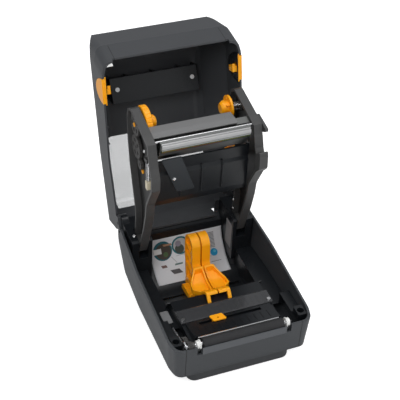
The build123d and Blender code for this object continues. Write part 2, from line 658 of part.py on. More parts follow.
with BuildPart() as platen_gear:
    gear(PLATEN, PLATEN_TEETH, GEAR_MODULE, GEAR_LEFT, GEAR_RIGHT, 0, SHAFT_RADIUS)
    side_rod(PLATEN, SHAFT_RADIUS + 2, GEAR_RIGHT, GEAR_RIGHT + 3.4)
    side_rod(PLATEN, SHAFT_RADIUS, GEAR_LEFT - 1, GEAR_RIGHT + 4, mode=Mode.SUBTRACT)
finish(platen_gear, "platen_gear")

with BuildPart() as platen_bushes:
    for end in (-1, 1):
        side_rod(PLATEN, BUSH_RADIUS, end * BUSH_FROM, end * BUSH_TO)
        side_rod(PLATEN, BUSH_RADIUS + 1.2, end * BUSH_FROM, end * (BUSH_FROM - 1.2))
        side_rod(PLATEN, SHAFT_RADIUS + PIN_FIT, end * (BUSH_FROM - 2), end * (BUSH_TO + 1), mode=Mode.SUBTRACT)
finish(platen_bushes, "platen_bushes")

with BuildPart() as drive_idler_gear:
    gear(idler_center, IDLER_TEETH, GEAR_MODULE, GEAR_LEFT, GEAR_RIGHT, idler_phase, AXLE_RADIUS + PIN_FIT)
    idler_rim = IDLER_TEETH * GEAR_MODULE / 2 - 2.5
    for x_from, x_to in ((GEAR_LEFT - 0.1, GEAR_LEFT + 2), (GEAR_RIGHT - 2, GEAR_RIGHT + 0.1)):
        side_rod(idler_center, idler_rim, x_from, x_to, mode=Mode.SUBTRACT)
        side_rod(idler_center, AXLE_RADIUS + 2.5, x_from, x_to)
    side_rod(idler_center, AXLE_RADIUS + PIN_FIT, GEAR_LEFT - 1, GEAR_RIGHT + 1, mode=Mode.SUBTRACT)
finish(drive_idler_gear, "drive_idler_gear")

with BuildPart() as motor_pinion:
    gear(motor_center, MOTOR_TEETH, GEAR_MODULE, GEAR_LEFT, GEAR_RIGHT, motor_phase)
    side_rod(motor_center, MOTOR_SHAFT_RADIUS, FRAME_LEFT - 3, GEAR_LEFT)
finish(motor_pinion, "motor_pinion")

with BuildPart() as stepper_motor:
    motor_right = FRAME_LEFT
    side_rod(motor_center, MOTOR_RADIUS, MOTOR_LEFT, motor_right)
    fillet(stepper_motor.edges().filter_by(GeomType.CIRCLE).sort_by(Axis.X)[0], 1)
    ears = [(motor_center[0] - 19, motor_center[1] - 3.5), (motor_center[0] + 19, motor_center[1] - 3.5),
            (motor_center[0] + 19, motor_center[1] + 3.5), (motor_center[0] - 19, motor_center[1] + 3.5)]
    side_prism(ears, motor_right - 1.2, motor_right, 3.4)
    side_rod(motor_center, MOTOR_SHAFT_RADIUS + PIN_FIT, motor_right - 4, motor_right + 1, mode=Mode.SUBTRACT)
finish(stepper_motor, "stepper_motor")

with BuildPart() as gear_frame:
    frame_outline = [(3.4, 4), (14.5, 4), (20, -2), (56, -10), (56, -44), (16, -44), (5.4, -30), (3.4, -10)]
    side_prism(frame_outline, FRAME_LEFT, FRAME_RIGHT, [5, 5, 3, 3, 3, 3, 3, 3])
    side_rod(PLATEN, SHAFT_RADIUS + PIN_FIT, FRAME_LEFT - 1, FRAME_RIGHT + 1, mode=Mode.SUBTRACT)
    side_rod(motor_center, MOTOR_SHAFT_RADIUS + PIN_FIT, FRAME_LEFT - 1, FRAME_RIGHT + 1, mode=Mode.SUBTRACT)
    side_rod(idler_center, AXLE_RADIUS, FRAME_RIGHT, GEAR_RIGHT + 0.6)
    side_rod(idler_center, AXLE_RADIUS + 2, FRAME_RIGHT, GEAR_LEFT - 0.3)
    foot_flange = [(16, CASE_UNDER + WALL), (56, CASE_UNDER + WALL), (56, CASE_UNDER + WALL + 1.7),
                   (16, CASE_UNDER + WALL + 1.7)]
    side_prism([(18, -47), (54, -47), (54, -43), (18, -43)], FRAME_LEFT, FRAME_RIGHT)
    side_prism(foot_flange, FRAME_LEFT, FRAME_RIGHT + 8)
finish(gear_frame, "gear_frame")

with BuildPart() as corner_sockets:
    for end in (-1, 1):
        block((end * socket_span[0], end * socket_span[1]), (13, 31), (platform_up, -0.3))
        post(end * 89.4, 21.4, 4.8, (platform_up + 1.5, 1), mode=Mode.SUBTRACT)
    fillet(corner_sockets.edges().filter_by(Axis.Z), 2)
    add(clear_inside, mode=Mode.INTERSECT)
finish(corner_sockets, "corner_sockets")

# Hinge blocks: hollow pillars at the rear corners of the bay, slotted for the carriage arms

with BuildPart() as hinge_blocks:
    for end in (-1, 1):
        pillar = [(BLOCK_FRONT, -48), (BLOCK_FRONT, BLOCK_TOP - 3), (BLOCK_FRONT + 3, BLOCK_TOP), (252, BLOCK_TOP), (252, -48)]
        side_prism(pillar, end * BLOCK_INNER, end * BLOCK_OUTER)
        low_core = [(BLOCK_FRONT + BLOCK_WALL, -50), (BLOCK_FRONT + BLOCK_WALL, ARM_SLOT_FLOOR - BLOCK_WALL),
                    (244, ARM_SLOT_FLOOR - BLOCK_WALL), (244, -50)]
        side_prism(low_core, end * (BLOCK_INNER + BLOCK_WALL), end * (BLOCK_OUTER - BLOCK_WALL), mode=Mode.SUBTRACT)
        rear_core = [(ARM_SLOT_BACK + BLOCK_WALL, ARM_SLOT_FLOOR - BLOCK_WALL - 1), (ARM_SLOT_BACK + BLOCK_WALL, 22),
                     (244, 22), (244, ARM_SLOT_FLOOR - BLOCK_WALL - 1)]
        side_prism(rear_core, end * (BLOCK_INNER + BLOCK_WALL), end * (PLATE_OUTER + 1), mode=Mode.SUBTRACT)
        arm_slot = [(BLOCK_FRONT - 5, ARM_SLOT_FLOOR), (ARM_SLOT_BACK, ARM_SLOT_FLOOR), (ARM_SLOT_BACK, 40),
                    (BLOCK_FRONT - 5, 40)]
        side_prism(arm_slot, end * (PLATE_INNER - 1), end * (PLATE_OUTER + 1), mode=Mode.SUBTRACT)
    add(clear_inside, mode=Mode.INTERSECT)
    for end in (-1, 1):
        side_rod(PIVOT, PIVOT_PIN_RADIUS, end * (BLOCK_INNER + 1.2), end * (BLOCK_OUTER - 3), mode=Mode.SUBTRACT)
        side_rod(HINGE, CHEEK_RADIUS, end * (PLATE_OUTER + 1), end * BLOCK_OUTER)
        side_rod(HINGE, HINGE_PIN_RADIUS, end * (PLATE_OUTER + 3), end * 100, mode=Mode.SUBTRACT)
finish(hinge_blocks, "hinge_blocks")

with BuildPart() as pivot_pins:
    for end in (-1, 1):
        side_rod(PIVOT, PIVOT_PIN_RADIUS, end * (BLOCK_INNER + 1.2), end * (BLOCK_OUTER - 3))
        side_rod(HINGE, HINGE_PIN_RADIUS, end * (PLATE_OUTER + 3), end * 94.2)
finish(pivot_pins, "pivot_pins")

# Main board under the deck and the sockets behind the right pillar

with BuildPart() as main_board:
    block((-58, 58), (14, 118), (PLINTH_UNDER + 5.5, PLINTH_UNDER + 7.1))
    for x, back, width, depth, height in ((-30, 40, 14, 14, 2.4), (12, 52, 20, 20, 2.2), (38, 90, 10, 12, 9),
                                          (-40, 88, 24, 6, 8), (10, 96, 8, 20, 10)):
        block((x - width / 2, x + width / 2), (back - depth / 2, back + depth / 2),
              (PLINTH_UNDER + 7.1, PLINTH_UNDER + 7.1 + height))
finish(main_board, "main_board")

with BuildPart() as rear_sockets:
    with BuildSketch(rear_face.offset(-0.6)) as socket_fronts:
        with Locations((DATA_SOCKET, -3)):
            RectangleRounded(12, 10.8, 0.8)
            Rectangle(8.4, 7.6, mode=Mode.SUBTRACT)
        with Locations((POWER_SOCKET, -3)):
            Circle(4.9)
            Circle(2.8, mode=Mode.SUBTRACT)
    extrude(socket_fronts.sketch, amount=-10)
    with BuildSketch(rear_face.offset(-10.6)) as socket_backs:
        with Locations((DATA_SOCKET, -3)):
            RectangleRounded(12, 10.8, 0.8)
        with Locations((POWER_SOCKET, -3)):
            Circle(4.9)
    extrude(socket_backs.sketch, amount=-1.5)
finish(rear_sockets, "rear_sockets")

# Roll holders, which slide apart together on racks either side of a pinion under the trough


def rack_profile(sign, x_from, x_to, depth):
    """Outline from above of a rack whose teeth face the pinion from the front (-1) or the rear (1)."""
    pitch_line = STEM_BACK + sign * PINION_TEETH * RACK_MODULE / 2
    pitch = math.pi * RACK_MODULE
    tip = pitch_line - sign * TOOTH_TIP * RACK_MODULE
    root = pitch_line + sign * TOOTH_ROOT * RACK_MODULE
    points = [(x_from, root + sign * depth), (x_from, root)]
    first = math.ceil(x_from / pitch)
    last = math.floor(x_to / pitch)
    for tooth in range(first, last):
        middle = (tooth + 0.5) * pitch
        points += [(middle - 0.3 * pitch, root), (middle - 0.14 * pitch, tip), (middle + 0.14 * pitch, tip),
                   (middle + 0.3 * pitch, root)]
    points += [(x_to, root), (x_to, root + sign * depth)]
    return [(x, FRONT_Y + back) for x, back in points]


def scoop_column(sign, shrink):
    """Upright column over the outline of the scoop that flares out in front of a roll holder."""
    wing = [(HOLDER_INNER, 110), (15, 110), (27.5, 119), (26, 131), (15, 150), (HOLDER_INNER, 150)]
    with BuildPart() as column:
        with BuildSketch(Plane.XY.offset(RIM_UP - 34)):
            add(plan_sketch([(sign * x, back) for x, back in wing], [0, 3, 4, 10, 4, 0], shrink))
        extrude(amount=50)
    return column.part


def roll_holder(sign):
    """Holder on the left (-1) or the right (1): slotted upright, scoop, front guide leg, foot and rack."""
    def across(x_from, x_to):
        return sign * x_from, sign * x_to

    with BuildPart() as bowl:
        add(scoop_column(sign, 2.0))
        side_prism([(100, -19.4), (118, -21.6), (132, -21.6), (152, -15), (152, 20), (100, 20)], -40, 40, [0, 20, 20, 0, 0, 0],
                   mode=Mode.INTERSECT)
    with BuildPart() as scoop:
        add(scoop_column(sign, 0))
        side_prism([(100, -22), (118, -24.2), (132, -24.2), (152, -17.6), (152, -4), (146, -10), (132, -17), (100, -16)],
                   -40, 40, [0, 20, 20, 0, 0, 6, 20, 0], mode=Mode.INTERSECT)
        add(bowl.part, mode=Mode.SUBTRACT)

    top_front = HOLDER_TOP[0] - HOLDER_TOP_RADIUS
    top_rear = HOLDER_TOP[0] + HOLDER_TOP_RADIUS
    crown = HOLDER_TOP[1] + HOLDER_TOP_RADIUS
    upright = [(143, -66), (143, -46), (149, -34), (152, -20), (159, -8), (top_front, crown), (top_rear, crown),
               (top_rear - 1, -5), (184, -30), (181, -48), (181, -66)]
    crown_radius = HOLDER_TOP_RADIUS - 0.5
    corners = [0, 3, 6, 8, 12, crown_radius, crown_radius, 40, 20, 6, 0]
    core = [(155, -30), (top_front + HOLDER_RIM, -2), (top_front + HOLDER_RIM, crown - HOLDER_RIM),
            (top_rear - HOLDER_RIM, crown - HOLDER_RIM), (top_rear - HOLDER_RIM - 1, -5), (180.5, -32), (177, -45),
            (157, -45)]
    core_corners = [2, 8, crown_radius - HOLDER_RIM, crown_radius - HOLDER_RIM, 20, 10, 2, 2]
    with BuildPart() as holder:
        side_prism(upright, *across(HOLDER_INNER, HOLDER_OUTER), corners)
        side_prism([(143, -66), (143, -51), (173, -54), (173, -66)], *across(HOLDER_INNER, 22), [0, 3, 3, 0])
        side_rod(ROLL_AXIS, TROUGH_RADIUS - HOLDER_FLOAT, -80, 80, mode=Mode.INTERSECT)
        side_prism(core, *across(HOLDER_OUTER - 4.5, HOLDER_OUTER + 1), core_corners, mode=Mode.SUBTRACT)
        side_prism(core, *across(HOLDER_INNER - 1, HOLDER_INNER + 3.5), core_corners, mode=Mode.SUBTRACT)
        for step in (-28, -12, 4):
            with BuildSketch(Plane.YZ.offset(sign * (HOLDER_OUTER - 4.6))) as braces:
                add(side_sketch([(150, step - 1), (192, step + 5), (192, step + 7), (150, step + 1)]))
                add(side_sketch(core, core_corners), mode=Mode.INTERSECT)
            extrude(braces.sketch, amount=sign * 4.2)
        side_rod(HOLDER_TOP, 8.5, *across(HOLDER_INNER, HOLDER_INNER + 3.6))
        add(scoop.part)
        side_prism([(147, -44), (134, -23.5), (150, -18), (156, -30)], *across(HOLDER_INNER, HOLDER_OUTER - 4.5))
        strap = [(93, -7), (95.5, -4.5), (98.5, -4.5), (114, -17), (114, -21.3), (106, -14.8), (97, -7.8)]
        side_prism(strap, *across(HOLDER_INNER, 17.5), [0, 2, 2, 0, 0, 3, 0])
        leg = [(85.6, DECK_UP + HOLDER_FLOAT), (89.4, DECK_UP + HOLDER_FLOAT), (98, -7.2), (94, -5)]
        side_prism(leg, *across(12.8, 17.5), [1, 0, 0, 0])
        block(across(STEM_FROM, STEM_TO), (STEM_BACK - 1.5, STEM_BACK + 1.5), (RACK_UP[0], -58))
        rack_front = STEM_BACK + sign * (PINION_TEETH * RACK_MODULE / 2 + TOOTH_ROOT * RACK_MODULE)
        block(across(STEM_FROM, STEM_TO), (STEM_BACK, rack_front + sign * 1), RACK_UP)
        span = sorted(across(STEM_TO, STEM_FROM - HOLDER_TRAVEL - 14))
        with BuildSketch(Plane.XY.offset(RIM_UP + RACK_UP[0])) as rack:
            with BuildLine():
                Polyline(*rack_profile(sign, *span, 3), close=True)
            make_face()
        extrude(rack.sketch, amount=RACK_UP[1] - RACK_UP[0])
    return holder.part


for sign, name in ((-1, "roll_holder_left"), (1, "roll_holder_right")):
    with BuildPart() as holder_piece:
        add(roll_holder(sign))
    finish(holder_piece, name)

with BuildPart() as centring_pinion:
    pitch_radius = PINION_TEETH * RACK_MODULE / 2
    pinion_points = []
    for tooth in range(PINION_TEETH):
        for depth, share in ((-TOOTH_ROOT, -0.30), (TOOTH_TIP, -0.14), (TOOTH_TIP, 0.14), (-TOOTH_ROOT, 0.30)):
            angle = 2 * math.pi / PINION_TEETH * (tooth + share) - math.pi / 2
            reach = pitch_radius + depth * RACK_MODULE
            pinion_points.append((reach * math.cos(angle), FRONT_Y + STEM_BACK + reach * math.sin(angle)))
    with BuildSketch(Plane.XY.offset(RIM_UP + RACK_UP[0])) as pinion_face:
        with BuildLine():
            Polyline(*pinion_points, close=True)
        make_face()
        with Locations((0, FRONT_Y + STEM_BACK)):
            Circle(AXLE_RADIUS + PIN_FIT, mode=Mode.SUBTRACT)
    extrude(pinion_face.sketch, amount=RACK_UP[1] - RACK_UP[0])
finish(centring_pinion, "centring_pinion")

# Cover shell with its window, inner plate, lens, key panel and latch buttons

tab_front = REAR_NOTCH_BACK + 1
outer_lower = [(-30, rim(-30, RIM_GAP)), (tab_front, rim(tab_front, RIM_GAP)), (tab_front, REAR_TAB_UP),
               (COVER_REAR, REAR_TAB_UP)]
inner_lower = [(-30, -60), (COVER_REAR, -60)]
outer_cover = cover_form(0, outer_lower)
inside_cover = cover_form(COVER_WALL, inner_lower)
facet_angle = math.degrees(math.atan2(FACET_END[1] - FACET_START[1], FACET_END[0] - FACET_START[0]))
facet_mid = ((FACET_START[0] + FACET_END[0]) / 2, (FACET_START[1] + FACET_END[1]) / 2)
facet_tilt = math.radians(facet_angle)
facet_plane = set_in(COVER, Plane(origin=(0, *at(*facet_mid)), x_dir=(1, 0, 0),
                                  z_dir=(0, -math.sin(facet_tilt), math.cos(facet_tilt))))
panel_mid = (KEY_PLACES[0] + KEY_PLACES[-1]) / 2


def latch_outline(grow, drop=0.0):
    """Half ellipse that stands on the rim of the cover, as a flat side sketch."""
    foot = rim(LATCH_BACK, RIM_GAP) - 2.5
    with BuildSketch() as outline:
        with Locations(at(LATCH_BACK, foot)):
            Ellipse(LATCH_HALF_WIDTH + grow, LATCH_HEIGHT + grow)
        add(side_sketch([(-20, rim(-20, RIM_GAP - drop)), (120, rim(120, RIM_GAP - drop)), (120, 90), (-20, 90)]),
            mode=Mode.INTERSECT)
    return outline.sketch


with BuildPart() as rear_cut:
    for end in (-1, 1):
        sweep_room = [(REAR_NOTCH_BACK, -10), (REAR_NOTCH_BACK, rim(REAR_NOTCH_BACK, RIM_GAP)), (240, 28), (253.7, 28.8), (COVER_REAR, 45), (275, 45),
                      (275, -10)]
        side_prism(sweep_room, end * REAR_TAB_HALF, end * 120, frame=COVER)
        side_rod(HINGE, CHEEK_RADIUS, end * CHEEK_INNER, end * 130, frame=COVER, mode=Mode.SUBTRACT)

with BuildPart() as cheek_room:
    add(inside_cover)
    for end in (-1, 1):
        side_rod(HINGE, CHEEK_RADIUS, end * CHEEK_INNER, end * 130, frame=COVER, mode=Mode.SUBTRACT)

with BuildPart() as cover_shell:
    add(outer_cover)
    add(cheek_room.part, mode=Mode.SUBTRACT)
    add(rear_cut.part, mode=Mode.SUBTRACT)
    block((-WINDOW_HALF, WINDOW_HALF), (WINDOW_FRONT, COVER_REAR + 5), (WINDOW_LOW, 140), COVER, Mode.SUBTRACT)
    block((-EXIT_HALF, EXIT_HALF), (-20, 12), (-5, EXIT_UP), COVER, Mode.SUBTRACT)
    with BuildSketch(facet_plane) as key_opening:
        with Locations((panel_mid, 0)):
            RectangleRounded(PANEL_SIZE[0] + 0.4, PANEL_SIZE[1] + 0.4, 3)
    extrude(key_opening.sketch, amount=10, both=True, mode=Mode.SUBTRACT)
    for end in (-1, 1):
        with BuildSketch(set_in(COVER, Plane.YZ.offset(end * 90))) as latch_opening:
            add(latch_outline(0.3, 2))
        extrude(latch_opening.sketch, amount=end * 20, mode=Mode.SUBTRACT)
        side_rod(HINGE, HINGE_PIN_RADIUS + PIN_FIT, end * 85, end * 130, frame=COVER, mode=Mode.SUBTRACT)
        for back in (95, 120):
            with BuildSketch(set_in(COVER, Plane.YZ.offset(end * 99))) as gusset:
                add(side_sketch([(back, rim(back, RIM_GAP + 1)), (back + 1.5, rim(back, RIM_GAP + 1)),
                                 (back + 1.5, 52), (back, 52)]))
            extrude(gusset.sketch, amount=-end * 3)
finish(cover_shell, "cover_shell")

with BuildPart() as cover_window:
    add(cover_form(WINDOW_SEAT, inner_lower))
    add(cover_form(WINDOW_SEAT + WINDOW_THICK, inner_lower), mode=Mode.SUBTRACT)
    block((-WINDOW_HALF + 0.3, WINDOW_HALF - 0.3), (WINDOW_FRONT + 0.3, COVER_REAR + 5), (WINDOW_LOW + 0.3, 140),
          COVER, Mode.INTERSECT)
finish(cover_window, "cover_window")


def inner_plate(back):
    """Height of the inner plate's underside at a distance behind the front face."""
    share = (back - INNER_PLATE_FRONT[0]) / (INNER_PLATE_REAR[0] - INNER_PLATE_FRONT[0])
    return INNER_PLATE_FRONT[1] + share * (INNER_PLATE_REAR[1] - INNER_PLATE_FRONT[1])


plate_run = (INNER_PLATE_REAR[0] - INNER_PLATE_FRONT[0], INNER_PLATE_REAR[1] - INNER_PLATE_FRONT[1])
screw_seat = set_in(COVER, Plane(origin=(0, *at(COVER_SCREW[1], inner_plate(COVER_SCREW[1]))), x_dir=(1, 0, 0),
                                 z_dir=(0, plate_run[1], -plate_run[0])))

with BuildPart() as cover_inner_plate:
    front, rear = INNER_PLATE_FRONT[0], INNER_PLATE_REAR[0]
    sheet = [(front, inner_plate(front)), (rear, inner_plate(rear)), (rear, inner_plate(rear) + INNER_PLATE_THICK),
             (front, inner_plate(front) + INNER_PLATE_THICK)]
    side_prism(sheet, -INNER_PLATE_HALF, INNER_PLATE_HALF, frame=COVER)
    for x in (-INNER_PLATE_HALF, -40, 0, 40, INNER_PLATE_HALF - 2):
        rib = [(front, inner_plate(front) + 1), (rear, inner_plate(rear) + 1), (rear, ROOF_UP - COVER_WALL - 0.4),
               (80, ROOF_UP - COVER_WALL - 0.4), (front, 110.9)]
        side_prism(rib, x, x + 2, frame=COVER)
    with BuildSketch(screw_seat.offset(1)) as screw_holes:
        with Locations((-COVER_SCREW[0], 0), (COVER_SCREW[0], 0)):
            Circle(1.6)
    extrude(screw_holes.sketch, amount=-8, mode=Mode.SUBTRACT)
finish(cover_inner_plate, "cover_inner_plate")

with BuildPart() as cover_screws:
    with BuildSketch(screw_seat) as heads:
        with Locations((-COVER_SCREW[0], 0), (COVER_SCREW[0], 0)):
            Circle(3.2)
    extrude(heads.sketch, amount=1.8)
    with BuildSketch(screw_seat) as shanks:
        with Locations((-COVER_SCREW[0], 0), (COVER_SCREW[0], 0)):
            Circle(1.6 - PIN_FIT)
    extrude(shanks.sketch, amount=-6)
finish(cover_screws, "cover_screws")

with BuildPart() as status_lens:
    with BuildSketch(set_in(COVER, Plane.XY.offset(RIM_UP + 1.2))) as lens:
        with Locations((LENS_PLACE[0], FRONT_Y + LENS_PLACE[1])):
            Circle(LENS_RADIUS)
        with Locations((LENS_PLACE[0], FRONT_Y + LENS_PLACE[1] + 1 + LENS_RADIUS)):
            Rectangle(2 * LENS_RADIUS + 2, 2 * LENS_RADIUS, mode=Mode.SUBTRACT)
    extrude(lens.sketch, amount=2)
    add(cheek_room.part, mode=Mode.INTERSECT)
finish(status_lens, "status_lens")

with BuildPart() as control_panel:
    with BuildSketch(facet_plane) as panel_face:
        with Locations((panel_mid, 0)):
            RectangleRounded(*PANEL_SIZE, 3)
    extrude(panel_face.sketch, amount=-COVER_WALL - 0.2)
    with BuildSketch(facet_plane.offset(-COVER_WALL - 0.2)) as panel_flange:
        with Locations((panel_mid, 0)):
            RectangleRounded(PANEL_SIZE[0] + 5, PANEL_SIZE[1] + 5, 4)
    extrude(panel_flange.sketch, amount=-1.2)
    with BuildSketch(facet_plane.offset(1)) as key_bores:
        with Locations(*[(x, 0) for x in KEY_PLACES]):
            Circle(KEY_RADIUS + KEY_GAP)
    extrude(key_bores.sketch, amount=-8, mode=Mode.SUBTRACT)
finish(control_panel, "control_panel")

for x, name in zip(KEY_PLACES, KEY_NAMES):
    with BuildPart() as key:
        with BuildSketch(facet_plane.offset(1.2)) as cap:
            with Locations((x, 0)):
                Circle(KEY_RADIUS)
        extrude(cap.sketch, amount=-6)
        fillet(key.edges().filter_by(GeomType.CIRCLE).sort_by_distance(facet_plane.from_local_coords((x, 0, 2)))[0],
               0.5)
        with BuildSketch(facet_plane.offset(-COVER_WALL - 1.8)) as collar:
            with Locations((x, 0)):
                Circle(KEY_RADIUS + 1.6)
        extrude(collar.sketch, amount=-1)
    finish(key, name)

for end, name in ((-1, "latch_button_left"), (1, "latch_button_right")):
    with BuildPart() as latch_button:
        wall_inner = CASE_HALF - COVER_WALL
        with BuildSketch(set_in(COVER, Plane.YZ.offset(end * (wall_inner - 1)))) as latch_face:
            add(latch_outline(0))
        extrude(latch_face.sketch, amount=end * (COVER_WALL + 1.6))
        with BuildSketch(set_in(COVER, Plane.YZ.offset(end * (wall_inner - 0.6)))) as latch_flange:
            add(latch_outline(2.4))
        extrude(latch_flange.sketch, amount=-end * 1.6)
        block((end * (wall_inner - 1), end * 89), (LATCH_BACK - 2, LATCH_BACK + 6), (9, 22), COVER)
        hook = [(LATCH_BACK - 2, 9), (LATCH_BACK - 6, 9), (LATCH_BACK - 2, 15)]
        side_prism(hook, end * 89, end * 93, frame=COVER)
    finish(latch_button, name)

# Ribbon carriage: two side plates on the rear pivots, joined by the head support and the tray

plate_outline = [(3, 14), (3, 30), (5, 84), (14, 93.5), (28, 94), (56, 84), (93, 66), (127, 43), (152, 26),
                 (196, 19.5), (PIVOT[0] + 2, PIVOT[1] + PIVOT_BOSS_RADIUS), (PIVOT[0] + PIVOT_BOSS_RADIUS, PIVOT[1]),
                 (PIVOT[0], PIVOT[1] - PIVOT_BOSS_RADIUS), (150, -9.5), (120, -10), (98, -8), (60, -18), (42, -14),
                 (36, -9), (30, -3), (20, 3)]
plate_rounding = [0, 8, 6, 5, 12, 40, 40, 40, 60, 30, 0, 11, 0, 40, 40, 20, 6, 6, 4, 4, 0]
notch_radius = 10.5


def plate_face(shrink):
    """Side plate's outline with the notch that straddles the roller shaft, drawn in by shrink."""
    with BuildSketch() as face:
        add(side_sketch(plate_outline, plate_rounding))
        with Locations(at(*PLATEN)):
            Circle(notch_radius, mode=Mode.SUBTRACT)
        if shrink:
            offset(amount=-shrink, kind=Kind.INTERSECTION)
    return face.sketch


def plate_pocket(x_from, x_to):
    """Recess that leaves the plate's rim standing, cut from one X to another."""
    with BuildSketch(set_in(CARRIAGE, Plane.YZ.offset(x_from))) as pocket:
        add(plate_face(PLATE_RIM))
        with Locations(at(*PIVOT)):
            Circle(PIVOT_BOSS_RADIUS + 3, mode=Mode.SUBTRACT)
    extrude(pocket.sketch, amount=x_to - x_from, mode=Mode.SUBTRACT)


ribbon_idler = (57.0, 60.0)
idler_way = math.degrees(math.atan2(ribbon_idler[1] - TAKE_UP[1], ribbon_idler[0] - TAKE_UP[0]))
ribbon_idler = polar(TAKE_UP, gear_distance(TAKE_UP_TEETH, RIBBON_IDLER_TEETH, RIBBON_MODULE), idler_way)
drive_way = -52.0
ribbon_drive = polar(ribbon_idler, gear_distance(RIBBON_IDLER_TEETH, DRIVE_TEETH, RIBBON_MODULE), drive_way)
web_left = -PLATE_INNER - PLATE_WEB

with BuildPart() as carriage_side_left:
    with BuildSketch(set_in(CARRIAGE, Plane.YZ.offset(-PLATE_OUTER))) as left_face:
        add(plate_face(0))
    extrude(left_face.sketch, amount=PLATE_OUTER - PLATE_INNER)
    plate_pocket(-PLATE_OUTER - 1, web_left)
    side_rod(PIVOT, PIVOT_PIN_RADIUS + PIN_FIT, -90, -60, CARRIAGE, Mode.SUBTRACT)
    side_rod(GUIDE_ROD, GUIDE_ROD_RADIUS + PIN_FIT, -PLATE_INNER - GUIDE_ROD_SEAT - PIN_FIT, -60, CARRIAGE, Mode.SUBTRACT)
    for center in (TAKE_UP, ribbon_idler, ribbon_drive):
        side_rod(center, 4.5, web_left, web_left - 0.6, CARRIAGE)
    side_rod(TAKE_UP, 3 + PIN_FIT, -90, -60, CARRIAGE, Mode.SUBTRACT)
    side_rod(SUPPLY, 3 + PIN_FIT, -90, -60, CARRIAGE, Mode.SUBTRACT)
    for center in (ribbon_idler, ribbon_drive):
        side_rod(center, AXLE_RADIUS, web_left, RIBBON_GEAR_LEFT - 0.8, CARRIAGE)
    rest = [(SPRING_FOOT[0] - 6, SPRING_FOOT[1] - 2.5), (SPRING_FOOT[0] - 1.5, SPRING_FOOT[1] - 4.5),
            (SPRING_FOOT[0] + 1.6, SPRING_FOOT[1] + 4.3), (SPRING_FOOT[0] - 2, SPRING_FOOT[1] + 6)]
    side_prism(rest, -PLATE_OUTER + 1, web_left, frame=CARRIAGE)
finish(carriage_side_left, "carriage_side_left")

with BuildPart() as carriage_side_right:
    with BuildSketch(set_in(CARRIAGE, Plane.YZ.offset(PLATE_INNER))) as right_face:
        add(plate_face(0))
    extrude(right_face.sketch, amount=PLATE_OUTER - PLATE_INNER)
    plate_pocket(PLATE_INNER - 1, PLATE_OUTER - PLATE_WEB)
    side_prism([(24, -16), (30, -19.5), (48, -25.2), (62, -18), (50, -10), (36, -8)], PLATE_INNER, PLATE_OUTER,
               [2, 4, 8, 2, 2, 2], frame=CARRIAGE)
    side_rod(PIVOT, PIVOT_PIN_RADIUS + PIN_FIT, 60, 90, CARRIAGE, Mode.SUBTRACT)
    side_rod(GUIDE_ROD, GUIDE_ROD_RADIUS + PIN_FIT, 60, PLATE_INNER + GUIDE_ROD_SEAT + PIN_FIT, CARRIAGE, Mode.SUBTRACT)
    for center in (TAKE_UP, SUPPLY):
        side_rod(center, PLUNGER_RADIUS + 3.5, PLATE_OUTER - PLATE_WEB - 2, PLATE_OUTER, CARRIAGE)
        side_rod(center, PLUNGER_RADIUS + PIN_FIT, 60, 90, CARRIAGE, Mode.SUBTRACT)
    side_rod(LEVER_PIVOT, 2.5, PLATE_OUTER - 2, PLATE_OUTER + 6.5, CARRIAGE)
finish(carriage_side_right, "carriage_side_right")


with BuildPart() as head_support:
    channel = [(8, 25), (8, 36), (36, 36), (36, 25), (33.5, 25), (33.5, 33.5), (10.5, 33.5), (10.5, 25)]
    side_prism(channel, -SUPPORT_HALF, SUPPORT_HALF, frame=CARRIAGE)
    for end in (-1, 1):
        lug = [(30.5, 15.5), (37, 15.5), (37, 34.5), (10, 34.5), (10, 27), (30.5, 27)]
        side_prism(lug, end * SUPPORT_HALF, end * (SUPPORT_HALF - 2.5), frame=CARRIAGE)
        side_rod(HEAD_TILT_AXIS, 1.8, end * SUPPORT_HALF, end * (HEAD_HALF - 1), CARRIAGE)
finish(head_support, "head_support")

head_low = PLATEN[1] + PLATEN_RADIUS + HEAD_GAP

with BuildPart() as printhead:
    element = [(3, head_low + 0.8), (6, head_low), (11, head_low), (16, head_low + 0.8), (16, head_low + 3),
               (3, head_low + 3)]
    side_prism(element, -HEAD_HALF, HEAD_HALF, frame=CARRIAGE)
    heat_sink = [(2, head_low + 3), (18, head_low + 3), (18, head_low + 5.4), (2, head_low + 5.4)]
    side_prism(heat_sink, -HEAD_HALF, HEAD_HALF, frame=CARRIAGE)
finish(printhead, "printhead")

with BuildPart() as printhead_bracket:
    low = head_low + 5.4
    arm = [(1.5, low), (26, low), (31, 16.5), (38, 16.5), (38, 23), (30, 23), (26, low + 2.4), (3.5, low + 2.4),
           (3.5, low + 3.4), (1.5, low + 3.4)]
    side_prism(arm, -HEAD_HALF - 1, HEAD_HALF + 1, frame=CARRIAGE)
    side_rod(HEAD_TILT_AXIS, 1.8 + PIN_FIT, -70, 70, CARRIAGE, Mode.SUBTRACT)
finish(printhead_bracket, "printhead_bracket")


with BuildPart() as carriage_tray:
    run = [(40, 13.4), (58, 11), (62, 7.5), (104, -1), (112, -1.5), (112, 3)]
    top = [(110, 3), (110, 0.9), (104.3, 1.2), (62.8, 9.6), (58.9, 13.2), (40, 15.7)]
    side_prism(run + top, -TRAY_HALF, TRAY_HALF, frame=CARRIAGE)
    for x in (-30, 0, 30):
        rib = [(57, 11.6), (62, 8), (100, 0.4), (100, -2.4), (62, 5), (56, 9)]
        side_prism(rib, x - 0.8, x + 0.8, frame=CARRIAGE)
    for end in (-1, 1):
        tab = [(44, 15), (58, 12.8), (96, 2), (96, 12), (60, 22), (44, 24)]
        side_prism(tab, end * TRAY_HALF, end * (TRAY_HALF - 2), [2, 0, 2, 4, 4, 4], frame=CARRIAGE)
finish(carriage_tray, "carriage_tray")


